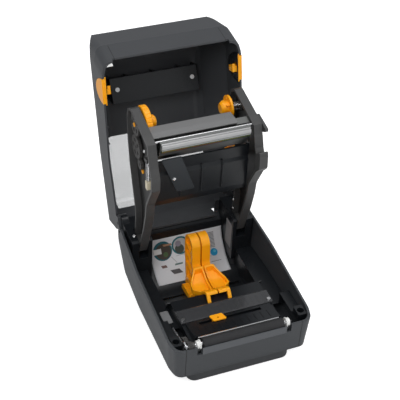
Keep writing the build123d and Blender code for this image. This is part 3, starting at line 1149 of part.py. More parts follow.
with BuildPart() as sensor_flap:
    flap_plane = set_in(CARRIAGE, Plane(origin=(0, *at(62, -0.4)), x_dir=(1, 0, 0),
                                        z_dir=(0, math.sin(math.radians(11.5)), math.cos(math.radians(11.5)))))
    with BuildSketch(flap_plane) as flap_face:
        corners = [(FLAP_FRONT[0], FLAP_FRONT[2] - 62), (FLAP_FRONT[1], FLAP_FRONT[2] - 62),
                   (FLAP_REAR[1], FLAP_REAR[2] - 62), (FLAP_REAR[0], FLAP_REAR[2] - 62)]
        add(rounded_outline(corners, 2))
    extrude(flap_face.sketch, amount=2)
    with BuildSketch(flap_plane) as flap_post:
        with Locations((-42, -8)):
            Circle(3)
    extrude(flap_post.sketch, amount=9.5)
finish(sensor_flap, "sensor_flap")

with BuildPart() as ribbon_shield:
    sheet = [(4.5, 25.2), (6, 25.2), (7.2, 36.2), (11.5, 50), (10, 50.4), (5.7, 36.4)]
    side_prism(sheet, -PLATE_INNER + 0.4, 50, frame=CARRIAGE)
finish(ribbon_shield, "ribbon_shield")

with BuildPart() as ribbon_guide_rod:
    side_rod(GUIDE_ROD, GUIDE_ROD_RADIUS, -PLATE_INNER - GUIDE_ROD_SEAT, PLATE_INNER + GUIDE_ROD_SEAT, CARRIAGE)
finish(ribbon_guide_rod, "ribbon_guide_rod")


def hub(center, x_face, x_nose):
    """Ribbon hub that points from its flange to its nose, with three fins to grip the core."""
    toward = 1 if x_nose > x_face else -1
    with BuildPart() as piece:
        side_rod(center, HUB_RADIUS, x_face, x_face + toward * 3, CARRIAGE)
        side_rod(center, HUB_BODY_RADIUS, x_face + toward * 3, x_nose, CARRIAGE)
        for fin in range(3):
            root, tip = polar(center, HUB_BODY_RADIUS - 1, 90 + 120 * fin), polar(center, CORE_RADIUS, 90 + 120 * fin)
            middle = at((root[0] + tip[0]) / 2, (root[1] + tip[1]) / 2)
            with BuildSketch(set_in(CARRIAGE, Plane.YZ.offset(x_face + toward * 3))) as fin_face:
                with Locations(Location(middle, 90 + 120 * fin)):
                    Rectangle(CORE_RADIUS - HUB_BODY_RADIUS + 1, 2)
            extrude(fin_face.sketch, amount=toward * 5)
        chamfer(piece.edges().filter_by(GeomType.CIRCLE).sort_by(Axis.X)[-1 if toward > 0 else 0], 2.5)
        for hole in range(3):
            side_rod(polar(center, CORE_RADIUS + 0.6, 30 + 120 * hole), 1.6, x_face - toward, x_face + toward * 4,
                     CARRIAGE, Mode.SUBTRACT)
    return piece.part


for center, name in ((TAKE_UP, "take_up"), (SUPPLY, "supply")):
    with BuildPart() as right_hub:
        add(hub(center, HUB_FACE, HUB_NOSE))
        side_rod(center, PLUNGER_RADIUS + PIN_FIT, PLUNGER_LEFT - 0.3, HUB_FACE + 1, CARRIAGE, Mode.SUBTRACT)
        side_rod(center, SPRING_RADIUS + SPRING_WIRE + SPRING_ROOM, HUB_FACE - PLUNGER_TRAVEL - 0.5, HUB_FACE + 1,
                 CARRIAGE, Mode.SUBTRACT)
    finish(right_hub, f"{name}_hub")
    with BuildPart() as plunger:
        side_rod(center, PLUNGER_RADIUS, PLUNGER_LEFT, PLUNGER_RIGHT, CARRIAGE)
        chamfer(plunger.edges().filter_by(GeomType.CIRCLE), 0.6)
    finish(plunger, f"{name}_plunger")

with BuildPart() as hub_springs:
    spring_right = PLATE_OUTER - PLATE_WEB - 2
    for center in (TAKE_UP, SUPPLY):
        start = set_in(CARRIAGE, Plane(origin=(HUB_FACE + 0.2 + SPRING_WIRE, *at(*center)), x_dir=(0, 1, 0),
                                       z_dir=(1, 0, 0)))
        add(coil(start, SPRING_RADIUS, SPRING_WIRE, spring_right - HUB_FACE - 2 * SPRING_WIRE - 0.3, 6, "hub spring"))
finish(hub_springs, "hub_springs")


with BuildPart() as take_up_wheel:
    side_rod(TAKE_UP, WHEEL_RADIUS, WHEEL_LEFT, WHEEL_RIGHT, CARRIAGE)
    chamfer(take_up_wheel.edges().filter_by(GeomType.CIRCLE), 1.2)
    side_rod(TAKE_UP, WHEEL_RADIUS - 3, WHEEL_LEFT + 3, WHEEL_RIGHT + 1, CARRIAGE, Mode.SUBTRACT)
    add(hub(TAKE_UP, WHEEL_LEFT + 3, WHEEL_RIGHT + 10))
    for notch in range(24):
        side_rod(polar(TAKE_UP, WHEEL_RADIUS + 0.4, 15 * notch), 1.1, WHEEL_LEFT - 1, WHEEL_RIGHT + 1, CARRIAGE,
                 Mode.SUBTRACT)
    side_rod(TAKE_UP, RIBBON_SHAFT_RADIUS, RIBBON_GEAR_LEFT - 1, WHEEL_LEFT, CARRIAGE)
finish(take_up_wheel, "take_up_wheel")

with BuildPart() as supply_wheel:
    add(hub(SUPPLY, WHEEL_LEFT, WHEEL_LEFT + 15))
    side_rod(SUPPLY, RIBBON_SHAFT_RADIUS, web_left - 1.5, WHEEL_LEFT, CARRIAGE)
    side_rod(SUPPLY, 3, WHEEL_LEFT + 9, WHEEL_LEFT + 16, CARRIAGE, Mode.SUBTRACT)
finish(supply_wheel, "supply_wheel")

ribbon_idler_phase = meshing_phase(0, TAKE_UP_TEETH, RIBBON_IDLER_TEETH, idler_way)
ribbon_drive_phase = meshing_phase(ribbon_idler_phase, RIBBON_IDLER_TEETH, DRIVE_TEETH, drive_way)

with BuildPart() as take_up_gear:
    gear(TAKE_UP, TAKE_UP_TEETH, RIBBON_MODULE, RIBBON_GEAR_LEFT, RIBBON_GEAR_RIGHT, 0, RIBBON_SHAFT_RADIUS, CARRIAGE)
    for hole in range(5):
        side_rod(polar(TAKE_UP, 9.5, 72 * hole), 3, RIBBON_GEAR_LEFT - 1, RIBBON_GEAR_RIGHT + 1, CARRIAGE,
                 Mode.SUBTRACT)
finish(take_up_gear, "take_up_gear")

with BuildPart() as ribbon_idler_gear:
    gear(ribbon_idler, RIBBON_IDLER_TEETH, RIBBON_MODULE, RIBBON_GEAR_LEFT, RIBBON_GEAR_RIGHT, ribbon_idler_phase,
         AXLE_RADIUS + PIN_FIT, CARRIAGE)
    for hole in range(5):
        side_rod(polar(ribbon_idler, 9.5, 72 * hole), 3, RIBBON_GEAR_LEFT - 1, RIBBON_GEAR_RIGHT + 1, CARRIAGE,
                 Mode.SUBTRACT)
finish(ribbon_idler_gear, "ribbon_idler_gear")

with BuildPart() as ribbon_drive_gear:
    gear(ribbon_drive, DRIVE_TEETH, RIBBON_MODULE, RIBBON_GEAR_LEFT, RIBBON_GEAR_RIGHT, ribbon_drive_phase,
         AXLE_RADIUS + PIN_FIT, CARRIAGE)
finish(ribbon_drive_gear, "ribbon_drive_gear")

with BuildPart() as pressure_spring:
    along = (SPRING_HEAD[0] - SPRING_FOOT[0], SPRING_HEAD[1] - SPRING_FOOT[1])
    spring_axis = set_in(CARRIAGE, Plane(origin=(-75.4, *at(*SPRING_FOOT)), x_dir=(1, 0, 0), z_dir=(0, *along)))
    add(coil(spring_axis.offset(1.8), 3.2, 0.5, math.hypot(*along) - 2.4, 14, "pressure spring"))
finish(pressure_spring, "pressure_spring")

with BuildPart() as pressure_block:
    block_plane = set_in(CARRIAGE, Plane(origin=(web_left, *at(*SPRING_HEAD)), x_dir=(0, *along), z_dir=(-1, 0, 0)))
    with BuildSketch(block_plane) as block_face:
        with Locations((6.5, 0)):
            RectangleRounded(12, 8, 1)
    extrude(block_face.sketch, amount=8)
finish(pressure_block, "pressure_block")

with BuildPart() as carriage_lever:
    leaf = [(7, 38), (4.4, 4.6), (8.6, 3.4), (15, 10), (18.5, 20), (18, 27), (12, 30)]
    side_prism(leaf, PLATE_OUTER + 1.5, PLATE_OUTER + 5.5, [1, 1, 2, 5, 5, 4, 4], frame=CARRIAGE)
    side_rod(LEVER_PIVOT, 2.5 + PIN_FIT, 80, 90, CARRIAGE, Mode.SUBTRACT)
finish(carriage_lever, "carriage_lever")
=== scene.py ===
# %% [markdown]
# # A desktop label printer, opened for a roll change
# The printer comes from a measured CAD model: a case with a roll trough, a cover on rear hinges, and a
# ribbon carriage that swings up with it. This lesson gives that model its finishes and the thin things that
# CAD leaves out, such as stickers, screw heads and the printed strip of the print head. Then it sets up a
# white studio. The model is loaded as a frame, so everything below is placed in the same metres.

# %% Load the measured model
import math

import bpy
import numpy as np
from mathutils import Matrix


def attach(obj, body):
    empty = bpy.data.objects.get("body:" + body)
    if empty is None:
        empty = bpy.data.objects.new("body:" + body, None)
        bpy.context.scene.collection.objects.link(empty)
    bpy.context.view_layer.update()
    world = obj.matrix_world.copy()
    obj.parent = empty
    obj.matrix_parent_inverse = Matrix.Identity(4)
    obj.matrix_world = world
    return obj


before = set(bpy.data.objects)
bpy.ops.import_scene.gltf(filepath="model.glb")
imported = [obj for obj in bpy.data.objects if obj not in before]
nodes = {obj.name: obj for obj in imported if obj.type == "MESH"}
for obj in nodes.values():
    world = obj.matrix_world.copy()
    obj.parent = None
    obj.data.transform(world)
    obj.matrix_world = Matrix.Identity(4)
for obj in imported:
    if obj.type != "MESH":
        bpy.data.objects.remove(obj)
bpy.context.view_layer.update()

# %% [markdown]
# Side views of this printer are easiest to think of as two numbers: how far behind the front face, and how
# far above the front rim of the case. One small function turns those into the model's Y and Z, and another
# swings a point along with the opened carriage or cover, which turn about pins near the back. The model
# stands open, so a place read on the shut printer has to be swung before it is used.

# %% Where things lie
MM = 0.001
# model Y of the front face and Z of the front rim, in metres
FRONT_Y, RIM_UP = -0.1335, 0.0735
# (back, up) of each pin in mm, and how many degrees its body stands open
CARRIAGE_PIVOT, CARRIAGE_OPEN = (207.0, 8.0), -77.6
COVER_PIVOT, COVER_OPEN = (244.5, 21.1), -107.5
# (back, up) of a full roll's middle, which is also the middle of the trough's curved rear wall
ROLL_AXIS = (168.3, 2.0)


def place(x, back, up):
    """Model point in metres of an X, a distance behind the front face and a height over the rim, in mm."""
    return np.stack(np.broadcast_arrays(x * MM, FRONT_Y + back * MM, RIM_UP + up * MM), axis=-1)


def swung(points, pivot, degrees):
    """The points turned about a pin along X: (y, z) goes to (y cos - z sin, y sin + z cos) about the pin."""
    turn = math.radians(degrees)
    middle = place(0.0, *pivot)
    y, z = points[..., 1] - middle[1], points[..., 2] - middle[2]
    turned = np.array(points, dtype=float)
    turned[..., 1] = middle[1] + y * math.cos(turn) - z * math.sin(turn)
    turned[..., 2] = middle[2] + y * math.sin(turn) + z * math.cos(turn)
    return turned


print("roll axis in metres:", place(0.0, *ROLL_AXIS).round(4))

# %% [markdown]
# A finish is a small sum: some noise, scaled, added to a base value. Written as nodes by hand it is a long
# list of links, so two classes do the wiring. `Wire` wraps a socket, and each `+`, `-`, `*`, `<` or `>`
# adds a Math node. `Finish` owns one material and makes every other node through one method.

# %% Shader sums in plain Python
class Wire:
    """One value in a material. Arithmetic on it adds Math nodes and gives another Wire."""

    def __init__(self, finish, socket):
        self.finish, self.socket = finish, socket

    def math(self, operation, *values):
        """A Math node with this operation on the values, which are Wires or plain numbers."""
        return self.finish.node("Math", {"operation": operation}, dict(enumerate(values)))[0]

    def __add__(self, other):
        return self.math("ADD", self, other)

    def __radd__(self, other):
        return self.math("ADD", other, self)

    def __sub__(self, other):
        return self.math("SUBTRACT", self, other)

    def __rsub__(self, other):
        return self.math("SUBTRACT", other, self)

    def __mul__(self, other):
        return self.math("MULTIPLY", self, other)

    def __gt__(self, other):
        return self.math("GREATER_THAN", self, other)

    def __lt__(self, other):
        return self.math("LESS_THAN", self, other)

    def __abs__(self):
        return self.math("ABSOLUTE", self)

    def most(self, other):
        """The larger of two values."""
        return self.math("MAXIMUM", self, other)

    def repeat(self, step):
        """The value folded to and fro between 0 and a step."""
        return self.math("PINGPONG", self, step)

    def stays(self, low, high):
        """1 where the value lies between two limits, 0 elsewhere."""
        return (self > low) * (self < high)


class Finish:
    """A material with one Principled shader, and one method that makes any other node."""

    def __init__(self, name, **constants):
        self.material = bpy.data.materials.new(name)
        self.material.use_nodes = True
        self.tree = self.material.node_tree
        self.tree.nodes.clear()
        output = self.tree.nodes.new("ShaderNodeOutputMaterial")
        self.shader = self.tree.nodes.new("ShaderNodeBsdfPrincipled")
        self.tree.links.new(self.shader.outputs[0], output.inputs["Surface"])
        self.set(**constants)

    def put(self, socket, value):
        """Link a Wire to a socket, or write a plain value into it."""
        if isinstance(value, Wire):
            self.tree.links.new(value.socket, socket)
        elif hasattr(value, "__len__") and len(value) == 3 and socket.type == "RGBA":
            socket.default_value = (*value, 1.0)
        else:
            socket.default_value = value

    def set(self, **values):
        """Values of the Principled shader, with underscores for spaces."""
        for name, value in values.items():
            self.put(self.shader.inputs[name.replace("_", " ")], value)

    def node(self, kind, settings=None, sockets=None):
        """A node of this kind: settings first, then its sockets by name or number. Gives its outputs."""
        made = self.tree.nodes.new("ShaderNode" + kind)
        for name, value in (settings or {}).items():
            setattr(made, name, value)
        for name, value in (sockets or {}).items():
            self.put(made.inputs[name], value)
        return [Wire(self, socket) for socket in made.outputs]

    def spot(self, kind="Object"):
        """What a point knows of itself: Object for its place in metres, UV, or Normal for its direction."""
        made = self.tree.nodes.new("ShaderNodeTexCoord")
        return Wire(self, made.outputs[kind])

    def axes(self, vector):
        """The three numbers of a vector."""
        return self.node("SeparateXYZ", None, {0: vector})

    def noise(self, scale, detail=2.0, vector=None, rough=0.5):
        """Soft random value from 0 to 1, with `scale` blotches to a metre."""
        return self.node("TexNoise", None, {"Vector": vector or self.spot(), "Scale": scale, "Detail": detail,
                                            "Roughness": rough})[0]

    def blend(self, share, first, second):
        """Colour between two colours."""
        mix = self.tree.nodes.new("ShaderNodeMix")
        mix.data_type = "RGBA"
        self.put(mix.inputs[0], share)
        self.put(mix.inputs[6], first)
        self.put(mix.inputs[7], second)
        return Wire(self, mix.outputs[2])

    def relief(self, height, depth, base=None):
        """Bump of a height from 0 to 1 that stands `depth` metres proud, on top of a base normal."""
        sockets = {"Height": height, "Distance": depth, "Strength": 1.0}
        if base is not None:
            sockets["Normal"] = base
        return self.node("Bump", None, sockets)[0]

    def soft_edge(self, radius):
        """Normal that rounds sharp edges by a radius in metres, as a mould does."""
        return self.node("Bevel", {"samples": 4}, {"Radius": radius})[0]


print("shader sums ready")

# %% [markdown]
# The case and the cover are dark grey plastic from a spark-eroded mould. Up close it is a field of tiny
# pits, which scatter light and make the surface look satin. From a step away only the satin shows, with a
# slightly cloudy sheen. Fine noise drives the bump, and broad noise shifts the roughness a little.

# %% One recipe for moulded plastic
# radius in metres of a moulded edge, how far the specks stray from the colour, and how dark a painted shadow
# line is
MOULD_EDGE, SPECKS, LINE_SHADE = 0.0005, 0.1, 0.12


def moulded(name, colour, rough, grain=1500.0, pits=0.00003, cloud=0.06, lines=None):
    """Moulded plastic: colour with fine specks, cloudy roughness, pitted bump, rounded edges, painted shadow
    lines.
    """
    finish = Finish(name)
    fine = finish.noise(grain, 3.0)
    broad = finish.noise(18.0, 3.0)
    darker = tuple(value * (1.0 - SPECKS) for value in colour)
    lighter = tuple(value * (1.0 + SPECKS) for value in colour)
    shade = finish.blend(fine * 0.6 + broad * 0.4, darker, lighter)
    if lines is not None:
        # painted shade: where the mask gives 1, the colour is darkened to a small share of itself
        shade = finish.blend(lines(finish), shade, tuple(value * LINE_SHADE for value in colour))
    finish.set(Base_Color=shade, Roughness=rough + (broad - 0.5) * cloud + (fine - 0.5) * cloud,
               Normal=finish.relief(fine, pits, finish.soft_edge(MOULD_EDGE)))
    return finish


print("plastic recipe ready")

# %% [markdown]
# Some shadow lines are too narrow to model: the seams beside the front panel, a groove near each side of
# the cover's front, and the shaded floors of the pockets in the side plates. Each is a mask that gives 1 on
# the line, and the recipe paints shade there by darkening the plastic. The cover's groove is read on the
# shut printer, so its mask first turns each point back to where it lies when the cover is shut.

# %% Shadow lines
def shut_coordinates(finish, pivot, degrees):
    """(x, back, up) in mm of the point as it lies when its body is shut."""
    middle = place(0.0, *pivot)
    centred = finish.node("VectorMath", {"operation": "SUBTRACT"}, {0: finish.spot(), 1: tuple(middle)})[0]
    turned = finish.node("VectorRotate", {"rotation_type": "X_AXIS"},
                         {"Vector": centred, "Angle": -math.radians(degrees)})[0]
    x, y, z = finish.axes(turned)
    return x * 1000.0, y * 1000.0 + pivot[0], z * 1000.0 + pivot[1]


# in mm on the shut printer: the groove's two edges, its ends, and how far back the front face reaches
GROOVE_X, GROOVE_UP, FRONT_FACE_BACK = (79.9, 80.7), (4.5, 33.0), 6.0
# in metres: the seam's two edges, how deep it runs into the front, and the top of the foot below it
SEAM_X, SEAM_DEPTH, FOOT_TOP = (0.0819, 0.0828), 0.006, 0.0262
# in metres: a thin slice round the floor of the right plate's pockets, and of the left plate's
RIGHT_POCKET, LEFT_POCKET = (0.0763, 0.0777), (-0.0717, -0.0703)
FACES_SIDEWAYS = 0.9


def cover_groove_shadow(finish):
    """1 in the two painted shadow lines that run up the cover's lower front face, one near each side."""
    x, back, up = shut_coordinates(finish, COVER_PIVOT, COVER_OPEN)
    return abs(x).stays(*GROOVE_X) * up.stays(*GROOVE_UP) * (back < FRONT_FACE_BACK)


def panel_seam_shadow(finish):
    """1 in the painted shadow lines beside the front panel, where it meets the case."""
    x, y, z = finish.axes(finish.spot())
    return abs(x).stays(*SEAM_X) * (y < FRONT_Y + SEAM_DEPTH) * (z > FOOT_TOP)


def pocket_shade(finish):
    """1 on the floors of the side plates' pockets, which are turned to the side, where shade is painted."""
    x, _, _ = finish.axes(finish.spot())
    across, _, _ = finish.axes(finish.spot("Normal"))
    return (abs(across) > FACES_SIDEWAYS) * (x.stays(*RIGHT_POCKET).most(x.stays(*LEFT_POCKET)))


print("shadow lines ready")

# %% [markdown]
# The recipe is now used once for each plastic. The black parts inside are smoother than the case, so they
# have a lower roughness and coarser, shallower grain.

# %% The plastics
case_plastic = moulded("case_charcoal", (0.034, 0.0375, 0.042), 0.48, lines=panel_seam_shadow)
cover_plastic = moulded("cover_charcoal", (0.044, 0.0465, 0.051), 0.48, lines=cover_groove_shadow)
foot_plastic = moulded("underside_charcoal", (0.03, 0.032, 0.035), 0.55)
bay_plastic = moulded("bay_black", (0.008, 0.0095, 0.0115), 0.3, grain=1100.0, pits=0.00002, cloud=0.1)
arm_plastic = moulded("carriage_graphite", (0.05, 0.0495, 0.049), 0.4, grain=1200.0, pits=0.00004, cloud=0.1,
                      lines=pocket_shade)
strip_plastic = moulded("lip_grey", (0.075, 0.08, 0.088), 0.4, grain=1300.0, pits=0.00002)
flap_plastic = moulded("flap_slate", (0.018, 0.022, 0.026), 0.35, grain=1200.0, pits=0.00002)
shield_plastic = moulded("shield_satin", (0.17, 0.17, 0.17), 0.3, grain=900.0, pits=0.00002, cloud=0.12)
key_plastic = moulded("key_grey", (0.16, 0.165, 0.175), 0.4, pits=0.00002)
gear_plastic = moulded("gear_dark", (0.05, 0.048, 0.046), 0.45, grain=900.0, pits=0.00002)
cream_plastic = moulded("cream_nylon", (0.72, 0.64, 0.47), 0.4, grain=800.0, pits=0.00002)
white_plastic = moulded("white_nylon", (0.8, 0.8, 0.78), 0.35, grain=800.0, pits=0.00001)
print("moulded plastics:", len(bpy.data.materials))

# %% [markdown]
# Everything that the user touches is bright orange: the latches, the roll holders, the ribbon hubs. It is
# glossy and a little translucent, so shaded parts glow a deeper orange and don't turn brown. A little
# subsurface scattering gives that.

# %% Orange touch points
touch_orange = Finish("touch_orange", Subsurface_Weight=0.12, Subsurface_Scale=0.004,
                      Subsurface_Radius=(0.9, 0.35, 0.05), Specular_IOR_Level=0.45)
flow = touch_orange.noise(30.0, 3.0)
skin = touch_orange.noise(700.0, 2.0)
touch_orange.set(Base_Color=touch_orange.blend(flow, (0.96, 0.35, 0.003), (1.0, 0.43, 0.006)),
                 Roughness=0.3 + flow * 0.1 + skin * 0.04,
                 Normal=touch_orange.relief(skin, 0.000015, touch_orange.soft_edge(0.0006)))
print("orange:", touch_orange.material.name)

# %% [markdown]
# Clear and smoky plastic let the background through. Alpha is used and not refraction: the sheets are thin
# and flat, and with alpha the light also reaches what lies behind them. Handling marks are a faint haze.

# %% Clear plastics
def clear(name, colour, alpha, haze):
    """Clear sheet: even alpha with a faint haze from handling, and a glossy face."""
    finish = Finish(name)
    marks = finish.noise(60.0, 4.0, rough=0.65)
    finish.set(Base_Color=finish.blend(marks, colour, tuple(value * 0.9 for value in colour)),
               Roughness=0.06 + marks * 0.08, Alpha=alpha + (marks - 0.5) * haze,
               Specular_IOR_Level=0.8, IOR=1.5)
    return finish


window_plastic = clear("window_clear", (0.5, 0.52, 0.53), 0.42, 0.06)
bar_plastic = clear("bar_smoke", (0.06, 0.061, 0.064), 0.78, 0.05)
print("clear plastics ready")

# %% [markdown]
# Metals here are of three kinds: ground steel for shafts and rods, zinc-plated sheet with its faint
# crystals, and dark coated sheet with long drawn lines. A stretched noise makes drawn lines: the same
# noise, looked up with one axis squeezed almost flat.

# %% Metals
def drawn(name, colour, rough, squeeze, scale=900.0, spread=0.12):
    """Metal with fine lines along the axis whose squeeze factor is small."""
    finish = Finish(name, Metallic=1.0)
    along = finish.node("Mapping", None, {"Vector": finish.spot(), "Scale": squeeze})[0]
    lines = finish.noise(scale, 4.0, along)
    cloud = finish.noise(25.0, 3.0)
    darker = tuple(value * 0.82 for value in colour)
    finish.set(Base_Color=finish.blend(lines * 0.5 + cloud * 0.5, darker, colour),
               Roughness=rough + (lines - 0.5) * spread + (cloud - 0.5) * 0.08,
               Normal=finish.relief(lines, 0.00001))
    return finish


ground_steel = drawn("ground_steel", (0.78, 0.78, 0.79), 0.2, (0.03, 1.0, 1.0))
coated_sheet = drawn("coated_sheet", (0.2, 0.205, 0.2), 0.4, (0.04, 1.0, 1.0), 500.0, spread=0.2)
fastener_steel = drawn("fastener_steel", (0.8, 0.8, 0.8), 0.24, (1.0, 1.0, 0.3), 1200.0)

zinc_sheet = Finish("zinc_sheet", Metallic=1.0)
spangle = zinc_sheet.node("TexVoronoi", None, {"Vector": zinc_sheet.spot(), "Scale": 260.0})[1]
spangle_value = zinc_sheet.axes(spangle)[0]
zinc_sheet.set(Base_Color=zinc_sheet.blend(spangle_value, (0.5, 0.51, 0.53), (0.66, 0.67, 0.68)),
               Roughness=0.3 + spangle_value * 0.18,
               Normal=zinc_sheet.relief(zinc_sheet.noise(1500.0, 2.0), 0.000008))
print("metals ready")

# %% [markdown]
# Rubber is the roller and the feet. The roller is ground round, which leaves fine rings, so its noise is
# squeezed round the shaft and stays lively along it. The board under the deck is green, with paler tracks
# that stand a little proud under its varnish.

# %% Rubber and board
def rubber(name, colour, squeeze):
    """Matt rubber with fine grinding rings or a dull skin."""
    finish = Finish(name, Specular_IOR_Level=0.35)
    along = finish.node("Mapping", None, {"Vector": finish.spot(), "Scale": squeeze})[0]
    rings = finish.noise(2200.0, 3.0, along)
    dust = finish.noise(40.0, 4.0)
    finish.set(Base_Color=finish.blend(dust, colour, tuple(value * 1.7 for value in colour)),
               Roughness=0.62 + rings * 0.2, Normal=finish.relief(rings, 0.00002))
    return finish


roller_rubber = rubber("roller_rubber", (0.016, 0.016, 0.017), (1.0, 0.06, 0.06))
foot_rubber = rubber("foot_rubber", (0.012, 0.012, 0.013), (1.0, 1.0, 1.0))

board = Finish("board_green", Coat_Weight=0.4, Coat_Roughness=0.15)
board_x, board_y, _ = board.axes(board.spot())
tracks = ((board_x * 250.0).repeat(1.0) > 0.62) * ((board_y * 90.0).repeat(1.0) > 0.35)
board.set(Base_Color=board.blend(tracks, (0.012, 0.075, 0.035), (0.03, 0.14, 0.07)),
          Roughness=0.35 + board.noise(300.0) * 0.2, Normal=board.relief(tracks, 0.00003))
print("rubber and board ready")

# %% [markdown]
# The print head is one block in the CAD: a ceramic element on an aluminium heat sink. Its face has bands
# that run the whole width: aluminium, a dark glazed line where the dots heat, green board with gold
# contacts and rusty patches, and a dark cover over the chips. The bands are found by turning the point's
# coordinates back to where the head lies when the printer is shut, and reading its distance behind the
# front face.

# %% Print head bands
# (from, to) of each band in mm behind the front face, and the height in mm under which a point is on the face
FACE_UNDER = 10.0
CERAMIC, GLAZE, CONTACTS, PATCHES = (6.8, 11.0), (8.2, 8.9), (11.6, 13.4), (13.4, 14.6)
METAL_TO, BOARD_FROM, CHIP_COVER_FROM = 6.0, 10.6, 14.6

head = Finish("print_head_bands")
head_x, head_back, head_up = shut_coordinates(head, CARRIAGE_PIVOT, CARRIAGE_OPEN)
on_face = head_up < FACE_UNDER
contacts = ((head_x * 0.8).repeat(1.0) > 0.45) * head_back.stays(*CONTACTS)
patches = head.noise(34.0, 2.0) > 0.52
colour = head.blend(on_face * head_back.stays(*CERAMIC), (0.5, 0.5, 0.5), (0.42, 0.43, 0.42))
colour = head.blend(on_face * head_back.stays(*GLAZE), colour, (0.03, 0.03, 0.035))
colour = head.blend(on_face * (head_back > BOARD_FROM), colour, (0.01, 0.06, 0.02))
colour = head.blend(on_face * contacts, colour, (0.55, 0.4, 0.1))
colour = head.blend(on_face * head_back.stays(*PATCHES) * patches, colour, (0.16, 0.035, 0.01))
colour = head.blend(on_face * (head_back > CHIP_COVER_FROM), colour, (0.05, 0.05, 0.06))
metal = 1.0 - on_face * (head_back > METAL_TO) * (1.0 - contacts)
head.set(Base_Color=colour, Metallic=metal * 0.9, Roughness=0.28 + head.noise(400.0, 3.0) * 0.15,
         Normal=head.relief(head.noise(900.0, 2.0), 0.00001))
print("print head bands ready")

# %% [markdown]
# Now each CAD piece gets its finish. The pieces keep their own mesh, so only their material slots change.

# %% Dress the CAD pieces
WEARS = {
    "base_case front_panel": case_plastic, "cover_shell": cover_plastic, "bottom_cover": foot_plastic,
    "front_bezel": strip_plastic, "control_panel": bay_plastic,
    "media_bay guide_plate corner_sockets hinge_blocks rear_sockets cover_inner_plate": bay_plastic,
    "sensor_flap": flap_plastic, "carriage_tray": bay_plastic, "ribbon_shield": shield_plastic,
    "carriage_side_left carriage_side_right carriage_lever": arm_plastic,
    "roll_holder_left roll_holder_right latch_button_left latch_button_right": touch_orange,
    "take_up_hub supply_hub take_up_wheel supply_wheel media_sensor": touch_orange,
    "cover_window": window_plastic, "guide_bar": bar_plastic, "status_lens platen_bushes": white_plastic,
    "platen_roller": roller_rubber, "rubber_feet": foot_rubber, "main_board": board,
    "tear_bar platen_shaft motor_pinion pivot_pins ribbon_guide_rod": ground_steel,
    "take_up_plunger supply_plunger hub_springs pressure_spring": ground_steel,
    "guide_bar_screws cover_screws": fastener_steel, "stepper_motor gear_frame": zinc_sheet,
    "head_support printhead_bracket": coated_sheet, "printhead": head, "pressure_block": cream_plastic,
    "platen_gear drive_idler_gear centring_pinion": gear_plastic,
    "take_up_gear ribbon_idler_gear ribbon_drive_gear": gear_plastic,
    "power_button pause_button feed_button": key_plastic,
}


def dress(piece, finish):
    """Put one finish in every material slot of a piece."""
    if not piece.material_slots:
        piece.data.materials.append(finish.material)
    for material_slot in piece.material_slots:
        material_slot.material = finish.material


dressed = set()
for names, finish in WEARS.items():
    for name in names.split():
        dress(nodes[name], finish)
        dressed.add(name)
print("dressed:", len(dressed), "left plain:", sorted(set(nodes) - dressed))

# %% [markdown]
# New pieces are surfaces on a grid: a formula gives a point for each pair of parameters, numpy works out
# the whole array at once, and each square of the grid becomes a face. The same grid gives the UV map, so a
# printed design can be drawn in the parameters themselves.

# %% A surface from a grid
def surface(name, points, body, finish, wrap=False, thick=0.0):
    """Mesh of a (rows, columns, 3) array of points. wrap joins the last column to the first."""
    rows, columns = points.shape[:2]
    index = np.arange(rows * columns).reshape(rows, columns)
    right = np.roll(index, -1, axis=1) if wrap else index[:, 1:]
    left = index if wrap else index[:, :-1]
    faces = np.stack([left[:-1], right[:-1], right[1:], left[1:]], axis=-1).reshape(-1, 4)
    mesh = bpy.data.meshes.new(name)
    mesh.from_pydata(points.reshape(-1, 3).tolist(), [], faces.tolist())
    v, u = np.meshgrid(np.linspace(0, 1, rows), np.linspace(0, 1, columns), indexing="ij")
    corner = np.zeros(len(mesh.loops), dtype=np.int32)
    mesh.loops.foreach_get("vertex_index", corner)
    uv = mesh.uv_layers.new(name="grid")
    uv.data.foreach_set("uv", np.stack([u.ravel()[corner], v.ravel()[corner]], axis=-1).ravel())
    mesh.polygons.foreach_set("use_smooth", np.ones(len(mesh.polygons), dtype=bool))
    piece = bpy.data.objects.new(name, mesh)
    bpy.context.scene.collection.objects.link(piece)
    if thick:
        wall = piece.modifiers.new("thickness", "SOLIDIFY")
        wall.thickness, wall.offset = thick, -1.0
    dress(piece, finish)
    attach(piece, body)


print("grid surfaces ready")

# %% [markdown]
# A sheet on the rear wall of the roll trough shows in plain shapes how to load a roll: two round pictures
# of a roll, some bars, a striped block and a blue dot. All of them are circles and bars, some of them
# leaning, so each takes only a few comparisons in the sheet's own UV map.

# %% The loading guide in the trough
# in mm on the sheet, which is drawn from its upper left corner
WIDE, TALL = 113.0, 69.0

paper = Finish("guide_paper", Specular_IOR_Level=0.4)
across, down, _ = paper.axes(paper.spot("UV"))


def dot(center_across, center_down, radius):
    """1 inside a circle given in mm on the sheet."""
    from_left, from_top = across * WIDE - center_across, down * TALL - center_down
    return (from_left * from_left + from_top * from_top) < radius * radius


def ring(center_across, center_down, radius, width):
    """1 inside a ring."""
    return dot(center_across, center_down, radius) - dot(center_across, center_down, radius - width)


def bar(left, top, right, bottom, lean=0.0):
    """1 inside an upright box, or one that leans by so many mm for each mm down."""
    shifted = across * WIDE - (down * TALL - top) * lean
    return shifted.stays(left, right) * (down * TALL).stays(top, bottom)


